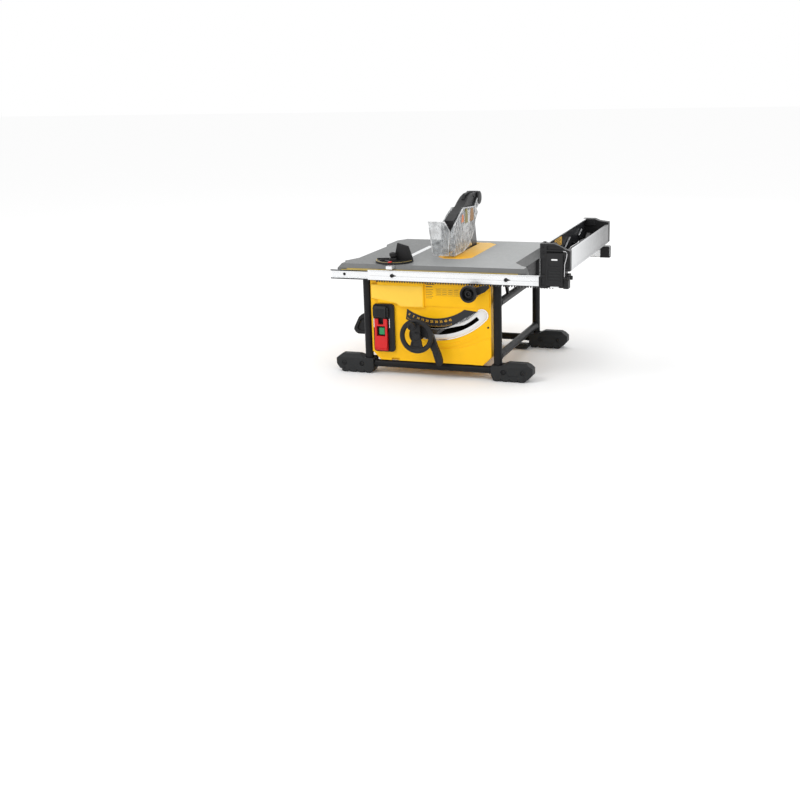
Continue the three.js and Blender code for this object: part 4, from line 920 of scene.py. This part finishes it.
def fence_heads():
    head = cad_copy("fence_front_head")
    low, high = span("fence_front_head")
    latch_low, latch_high = span("fence_latch")
    cut(head, block(338, 405.5, -268, -230, 352, 420))
    for x0, x1, z0, z1 in ((334, 346, 326, 372), (334, 346, 296, 320), (402, 412, 346, 376)):
        cut(head, pad("y", x0, x1, z0, z1, 3, low.y - 2, low.y + 3))
    grips = [block(x, x + 1.4, low.y, low.y + 3.5, 344, 378) for x in (410, 412.4)]
    grips += [block(401.5, 409.5, low.y - 0.6, low.y + 2, z, z + 1.6) for z in (296, 301, 306)]
    cut(head, pad("y", 350, 396, 396, 408, 3, low.y - 2, low.y + 4))
    moulding(softened(head, 1.6, 3), "fence_front_head", "rails", PLASTIC)
    piece(softened_set(grips, 0.5, 2), "fence_head_ribs", "rails", CHARCOAL)
    heads = [screw_head("y", x, z, low.y, -1, 3.6, 2) for x, z in ((338, 404), (340, 388), (406, 390))]
    piece(joined(*heads), "fence_head_screws", "rails", SCREW)
    knob = lathe([(0, 389), (4, 389), (4, 406), (6, 408), (6.6, 411), (6, 414), (3, 415), (0, 415)], "x",
                 low.y - 0.5, 319, 24)
    piece(knob, "fence_head_adjuster", "rails", SCREW)
    # a thin bright steel wire along the head's right side: painted highlight of that side's edge
    highlight_wire = [(398.5, 321), (400.5, 321), (401.5, 356), (407, 377), (408, 388), (404, 394), (396, 394.5),
            (396, 392.5), (403, 391.5), (405.5, 387), (405, 377.5), (399.5, 357)]
    piece(softened(prism(highlight_wire, "y", low.y - 1.6, low.y - 0.1), 0.4, 2), "fence_head_highlight_wire", "rails", STEEL)
    button = lathe([(0, 414), (4, 414), (7, 411), (8, 407), (8, 396), (0, 396)], "z", 368, -262, 32)
    piece(button, "fence_head_button", "rails", CHARCOAL)

    x0, x1, face = latch_low.x, latch_high.x, latch_low.y
    latch = prism([(-273, 380), (-273, 330), (-277, 296), (-286, 296), (-288.5, 312), (-289, 334),
                   (-288.5, 352), (-286.5, 374), (-283, 386), (-278, 390), (-276, 390)], "x", x0, x1)
    cut(latch, pad("y", x0 + 5, x1 - 5, 352, 378, 4, face - 2, face + 1.8))
    cut(latch, pad("y", x0 + 4, x1 - 4, 304, 346, 4, face - 2, face + 1.5))
    moulding(softened(latch, 1.5, 3), "fence_latch", "fence_latch", PLASTIC)
    bars = [block(x0 + 7, x1 - 7, face + 0.2, face + 3, z, z + 4.2) for z in (307, 316, 325, 334)]
    piece(softened_set(bars, 1.0, 2), "fence_latch_grips", "fence_latch", CHARCOAL)
    mark = block(x0 + 14, x1 - 15, face + 1.5, face + 2.4, 368, 372)
    piece(softened(mark, 0.2, 1), "fence_latch_mark", "fence_latch", WHITE)
    shoe = prism([(358, 291), (384, 291), (384, 295.4), (361, 295.4)], "y", low.y - 2, low.y + 6)
    piece(softened(shoe, 0.8, 2), "fence_head_shoe", "rails", ALUMINIUM)

    moulding(softened(cad_copy("fence_rear_head"), 1.6, 3), "fence_rear_head", "rails", PLASTIC)
    low, high = span("fence_rear_head")
    top = high.z - 0.2
    lever = prism([(low.x + 6, 388), (low.x + 40, 388), (low.x + 36, top), (low.x + 10, top)], "y",
                  high.y - 28, high.y - 10)
    piece(softened(lever, 2, 3), "fence_rear_lever", "rails", PLASTIC)


def fence_contents():
    refined("push_stick", "rails", PLASTIC, 1.6, 3, "push_stick_moulding")
    low, high = span("fence_left_face")
    right = span("fence_right_face")[0].x
    for k, y in enumerate((-150, -40, 70, 170)):
        clip = cut(block(low.x + 6, right - 3, y, y + 9, 343.4, 362),
                   block(low.x + 14, right - 10, y - 2, y + 11, 350, 380))
        piece(softened(clip, 1.2, 2), f"fence_clip_{k + 1}", "rails", PLASTIC)
    wrench = prism([(-200, 386), (-190, 381), (-96, 384), (-88, 380), (-80, 382), (-80, 390), (-88, 392),
                    (-96, 389), (-190, 391)], "x", right - 16, right - 13)
    piece(softened(wrench, 0.8, 2), "storage_wrench", "rails", STEEL)
    keys = [prism([(y0, z0), (y0 + 5, z0 - 2), (y1 + 5, z1 - 2), (y1, z1)], "x", low.x + 8, low.x + 12)
            for y0, z0, y1, z1 in ((-44, 364, 18, 387), (136, 374, 174, 388))]
    piece(softened_set(keys, 0.6, 2), "storage_keys", "rails", ALUMINIUM)
    tag = pad("x", -150, -66, 378, 402, 3, low.x + 5.6, low.x + 6.2)
    piece(tag, "fence_storage_tag", "rails", INSERT)
    lines = [block(low.x + 6.1, low.x + 6.4, -140, -78 - 12 * (k % 2), 382 + 5 * k, 384 + 5 * k)
             for k in range(4)]
    piece(joined(*lines), "fence_storage_tag_bars", "rails", INK)


# ---- guard -----------------------------------------------------------------------------
HINGE_Y, HINGE_Z = 168, 480
SIDE_IN, SIDE_OUT = 16, 18.5  # faces of a guard side, from the blade plane
SIDE_FOOT = 338
NOSE_FRONT, NOSE_BACK = -94.5, -91.5
LEFT_NOSE = [(-48, SIDE_FOOT), (3, SIDE_FOOT), (8, 413), (-8, 440), (-61, 440)]
LEFT_NOSE_WITHIN = [(-45, 341), (0, 341), (5, 412), (-9.5, 436.5), (-57, 436.5)]
LABEL_PATCHES = ((-20, 4, 427, 450), (14, 44, 420, 463), (66, 104, 420, 458))


def guard_outline(lift):
    return [(-92, 337), (0, 337), (46, 346), (81, 366), (110, 389), (122, 416), (149, 438), (136, 449),
            *arc(HINGE_Y, HINGE_Z, 13, -60, 130, 10), (118, 461), (2, 470), (-92, 427 + lift)]


def guard_side(side):
    """Clear guard side with diagonal stiffening ribs, a thick rim and a nose plate."""
    node = side + "_guard"
    way = -1 if side == "left" else 1
    inner, outer = SIDE_IN * way, SIDE_OUT * way
    lift = 7 if side == "left" else 0
    wall = prism(guard_outline(lift), "x", *sorted((inner, outer)))
    cut(wall, rod("x", HINGE_Y, HINGE_Z, 5.6, -30, 30))
    right_nose = [(5, SIDE_FOOT), (outer + 4, SIDE_FOOT), (outer + 3, 424), (inner, 424), (10, 413)]
    nose = prism(LEFT_NOSE if side == "left" else right_nose, "y", NOSE_FRONT, NOSE_BACK)
    piece(softened(joined(wall, nose), 0.5, 2), node + "_clear", node, CLEAR, (node,))
    boss = lathe([(6, 15.7), (20, 15.7), (20, 18.8), (6, 18.8), (6, 15.7)], "x", HINGE_Y, HINGE_Z, 48)
    if side == "left":
        for vert in boss.data.vertices:
            vert.co.x *= -1
        boss.data.flip_normals()
    piece(boss, node + "_hinge_boss", node, PLASTIC)
    bars = [prism([(y - 71.4, SIDE_FOOT), (y - 68.6, SIDE_FOOT), (y + 1.4, 470), (y - 1.4, 470)], "x",
                  *sorted((outer - 0.2 * way, outer + 1.4 * way)))
            for y in range(-70, 168, 17)]
    mask = prism(guard_outline(lift), "x", *sorted((outer - way, outer + 4 * way)))
    bars = boolean(joined(*bars), [mask], "INTERSECT")
    rim = cut(prism(guard_outline(lift), "x", *sorted((outer - 0.2 * way, outer + 1.8 * way))),
              prism(inset(guard_outline(lift), 3.0), "x", -40, 40))
    # the ribs and rim take the paler plastic: painted highlight
    piece(softened(joined(bars, rim), 0.4, 1), node + "_ribs", node, CLEAR_RIB_PAINTED_HIGHLIGHT)
    if side == "left":
        frame_edge = cut(prism(LEFT_NOSE, "y", NOSE_FRONT - 0.8, NOSE_FRONT + 1.5),
                         prism(LEFT_NOSE_WITHIN, "y", NOSE_FRONT - 4.5, NOSE_BACK + 1.5))
        # the nose edge takes the paler plastic: painted highlight
        piece(softened(frame_edge, 0.4, 1), node + "_nose_edge", node, CLEAR_RIB_PAINTED_HIGHLIGHT)
        return
    for ink, (y0, y1, z0, z1) in zip(LABEL_INKS, LABEL_PATCHES):
        patch = prism([(y0, z0), (y1, z0), (y1 - 4, z1), (y0 + 8, z1)], "x", outer + 1.5, outer + 1.8)
        piece(patch, node + "_" + ink[0].name, node, ink)


def inset(outline, distance):
    """The outline moved in by a distance, for a convex-cornered outline that runs anticlockwise."""
    points = []
    n = len(outline)
    for i in range(n):
        before, here, after = (Vector(outline[j % n]) for j in (i - 1, i, i + 1))
        a = (here - before).normalized()
        b = (after - here).normalized()
        bisector = Vector((-(a.y + b.y), a.x + b.x)).normalized()
        scale = 1 / max(0.5, math.sqrt((1 + a.dot(b)) / 2))
        points.append(tuple(here + bisector * distance * scale))
    return points


ARM_HALF = 14.4


def guard_arm():
    outline = [(-76, 412), (-62, 404), (-48, 430), (0, 448), (28, 456), (60, 455), (130, 452),
               *arc(HINGE_Y, HINGE_Z, 21, -70, 120, 16), (112, 500), (75, 493), (46, 482), (16, 468),
               (-36, 456), (-78, 441)]
    arm = prism(outline, "x", -ARM_HALF, ARM_HALF)
    cut(arm, block(-1.6, 1.6, 118, 200, 400, 472))
    for way in (-1, 1):
        recess = prism([(68, 462), (128, 459), (146, 478), (118, 494), (80, 492), (66, 480)], "x",
                       *sorted((way * (ARM_HALF - 1.6), way * 16)))
        cut(arm, recess)
    cut(arm, rod("x", HINGE_Y, HINGE_Z, 5.4, -20, 20))
    moulding(softened(arm, 2.4, 3), "guard_arm", "lift", PLASTIC)
    ridge = prism([(60, 484), (76, 497), (112, 500), (150, 498), (150, 503), (112, 505), (72, 502),
                   (56, 488)], "x", -4, 4)
    piece(softened(ridge, 1.2, 2), "guard_arm_ridge", "lift", CHARCOAL)
    low, high = span("guard_pin")
    radius = (high.z - low.z) / 2
    pin = lathe([(0, low.x), (radius - 5, low.x), (radius - 2, low.x + 0.8), (radius, low.x + 2.2),
                 (radius, low.x + 3), (5, low.x + 3), (5, high.x - 3), (radius, high.x - 3),
                 (radius, high.x - 2.2), (radius - 2, high.x - 0.8), (radius - 5, high.x), (0, high.x)], "x",
                HINGE_Y, HINGE_Z, 48)
    piece(pin, "guard_hinge_caps", "guard_pin", PLASTIC, ("guard_pin",))


def build_guard():
    guard_arm()
    guard_side("left")
    guard_side("right")
    refined("riving_knife", "lift", KNIFE, 0.35, 2, "riving_knife_plate")


# ---- mitre gauge -----------------------------------------------------------------------
MITRE = {"y": -183, "radius": 57, "off_slot": 11, "pointer_off_slot": 5}


def mitre_gauge():
    bar_low, bar_high = span("mitre_bar")
    x = (bar_low.x + bar_high.x) / 2
    bar = cut(cad_copy("mitre_bar"), rod("z", x, bar_low.y + 9, 3.4, bar_low.z - 1, bar_high.z + 1, 24))
    piece(softened(bar, 0.5, 2), "mitre_bar_finished", "mitre_bar", ALUMINIUM, ("mitre_bar",))
    px = x - MITRE["pointer_off_slot"]
    x -= MITRE["off_slot"]
    y, radius, base = MITRE["y"], MITRE["radius"], bar_high.z + 0.8
    rim = arc(x, y, radius, 180, 360, 48)
    disc = prism([*rim, (x + radius, y + 1), (x - radius, y + 1)], "z", base, base + 5.4)
    window = prism(arc(x, y, 45, 200, 340, 24) + arc(x, y, 30, 340, 200, 24), "z", base - 2, base + 8)
    cut(disc, window)
    plate = [(-radius, base), (radius, base), (radius - 1, 342), (43, 379), (9, 388), (2, 358), (-10, 343),
             (-radius, 341)]
    fence = prism([(x + a, z) for a, z in plate], "y", y, y + 7)
    boss = lathe([(0, 346), (11, 346), (12, 344), (12, base + 2), (0, base + 2)], "z", x, y - 14, 40)
    parts = [softened(disc, 0.8, 2), softened(fence, 1.2, 3), boss]
    moulding(joined(*parts), "mitre_head", "mitre_head", PLASTIC)
    ring = prism(arc(x, y, radius - 1.5, 184, 356, 48) + arc(x, y, 53, 356, 184, 48), "z", base + 5.3,
                 base + 5.8)
    piece(ring, "mitre_protractor_scale", "mitre_head", TAPE)
    ticks = []
    for k in range(-60, 61, 5):
        t = math.radians(270 + k)
        near, far = (53.5 if k % 15 else 52.8), radius - 2
        side = Vector((-math.sin(t), math.cos(t))) * 0.35
        a, b = (Vector((x + reach * math.cos(t), y + reach * math.sin(t))) for reach in (near, far))
        outline = [tuple(point) for point in (a - side, a + side, b + side, b - side)]
        ticks.append(prism(outline, "z", base + 5.7, base + 6))
    piece(joined(*ticks), "mitre_protractor_ticks", "mitre_head", INK)
    pads = [prism(arc(x, y, 44, a, a + 26, 6) + arc(x, y, 31, a + 26, a, 6), "z", base + 0.2, base + 1.4)
            for a in (222, 292)]
    piece(joined(*pads), "mitre_window_pads", "mitre_head", INSERT)
    pointer = prism([(px - 5, y - 60.5), (px + 5, y - 60.5), (px + 5, y - 51), (px, y - 45),
                     (px - 5, y - 51)], "z", base + 6.2, base + 9)
    piece(softened(pointer, 0.8, 2), "mitre_pointer", "mitre_bar", RED)
    low, high = span("mitre_knob")
    kx, ky = (low.x + high.x) / 2, (low.y + high.y) / 2
    base, top = low.z, high.z
    knob = lathe([(0, base), (7, base), (8, base + 3), (10.5, base + 5.5), (10.5, top - 3), (8.6, top - 0.6),
                  (5, top), (4, top - 2), (0, top - 2)], "z", kx, ky, 60)
    for k in range(8):
        t = math.tau * k / 8
        cut(knob, rod("z", kx + 12 * math.cos(t), ky + 12 * math.sin(t), 2.8, base + 4, top + 1, 16))
    moulding(softened(knob, 0.6, 2, 40), "mitre_knob", "mitre_knob", PLASTIC)


# ---- inner works -----------------------------------------------------------------------
def build_works():
    for node, body, finish, width in (
        ("blade", "arbor", STEEL, 0.15), ("arbor_nut", "arbor", STEEL, 0.6),
        ("motor_housing", "lift", PLASTIC, 1.2), ("arbor_carriage", "lift", CASTING, 1.0),
        ("front_trunnion", "cradle", CASTING, 1.0), ("rear_trunnion", "cradle", CASTING, 1.0),
        ("cradle_bar", "cradle", CASTING, 1.0), ("front_trunnion_bracket", "root", CASTING, 1.0),
        ("rear_trunnion_bracket", "root", CASTING, 1.0),
    ):
        refined(node, body, finish, width)
    for node in ("arbor_shaft", "motor_rotor", "elevation_screw", "front_guide_post",
                 "rear_guide_post", "rail_pinion_shaft"):
        tidied(node, STEEL)


build_cage()
build_table()
build_rails()
build_body()
height_wheel()
bevel_lever()
rail_controls()
storage_knob()
fence_faces()
fence_heads()
fence_contents()
build_guard()
mitre_gauge()
build_works()


# ---- studio ----------------------------------------------------------------------------
FLOOR_HALF, FLOOR_DROP = 14, 0.0005  # metres


def studio():
    bm = bmesh.new()
    corners = ((-1, -1), (1, -1), (1, 1), (-1, 1))
    bm.faces.new([bm.verts.new((FLOOR_HALF * x, FLOOR_HALF * y, -FLOOR_DROP)) for x, y in corners])
    mesh = bpy.data.meshes.new("studio_floor")
    bm.to_mesh(mesh)
    bm.free()
    floor = bpy.data.objects.new("studio_floor", mesh)
    bpy.context.scene.collection.objects.link(floor)
    mesh.materials.append(surface("studio_paper", (0.97, 0.97, 0.97), 0.95, mottle=0.003, grain=0.0,
                                  specular=0.0))
    world = bpy.data.worlds.new("studio_world")
    bpy.context.scene.world = world
    world.use_nodes = True
    background = world.node_tree.nodes["Background"]
    background.inputs["Color"].default_value = (1, 1, 1, 1)
    background.inputs["Strength"].default_value = 1.0
    for name, place, size, power in (
        ("key_light", (-1.6, -2.2, 2.8), 1.2, 26),
        ("fill_light", (2.4, -1.6, 1.6), 1.6, 7),
        ("rim_light", (0.4, 2.6, 2.2), 1.6, 12),
    ):
        light = bpy.data.lights.new(name, "AREA")
        light.energy = power
        light.size = size
        lamp = bpy.data.objects.new(name, light)
        lamp.location = place
        lamp.rotation_euler = (Vector((0, 0, 0.25)) - Vector(place)).to_track_quat("-Z", "Y").to_euler()
        bpy.context.scene.collection.objects.link(lamp)
    bpy.context.scene.view_settings.view_transform = "Standard"


def camera():
    data = bpy.data.cameras.new("photo_camera")
    data.lens = 55.60
    data.sensor_width = 36
    data.clip_end = 60
    obj = bpy.data.objects.new("photo_camera", data)
    obj.location = (1.12788, -3.54440, 0.94888)
    obj.rotation_euler = [math.radians(a) for a in (73.9577, 1.8077, 20.6776)]
    bpy.context.scene.collection.objects.link(obj)
    bpy.context.scene.camera = obj


studio()
camera()
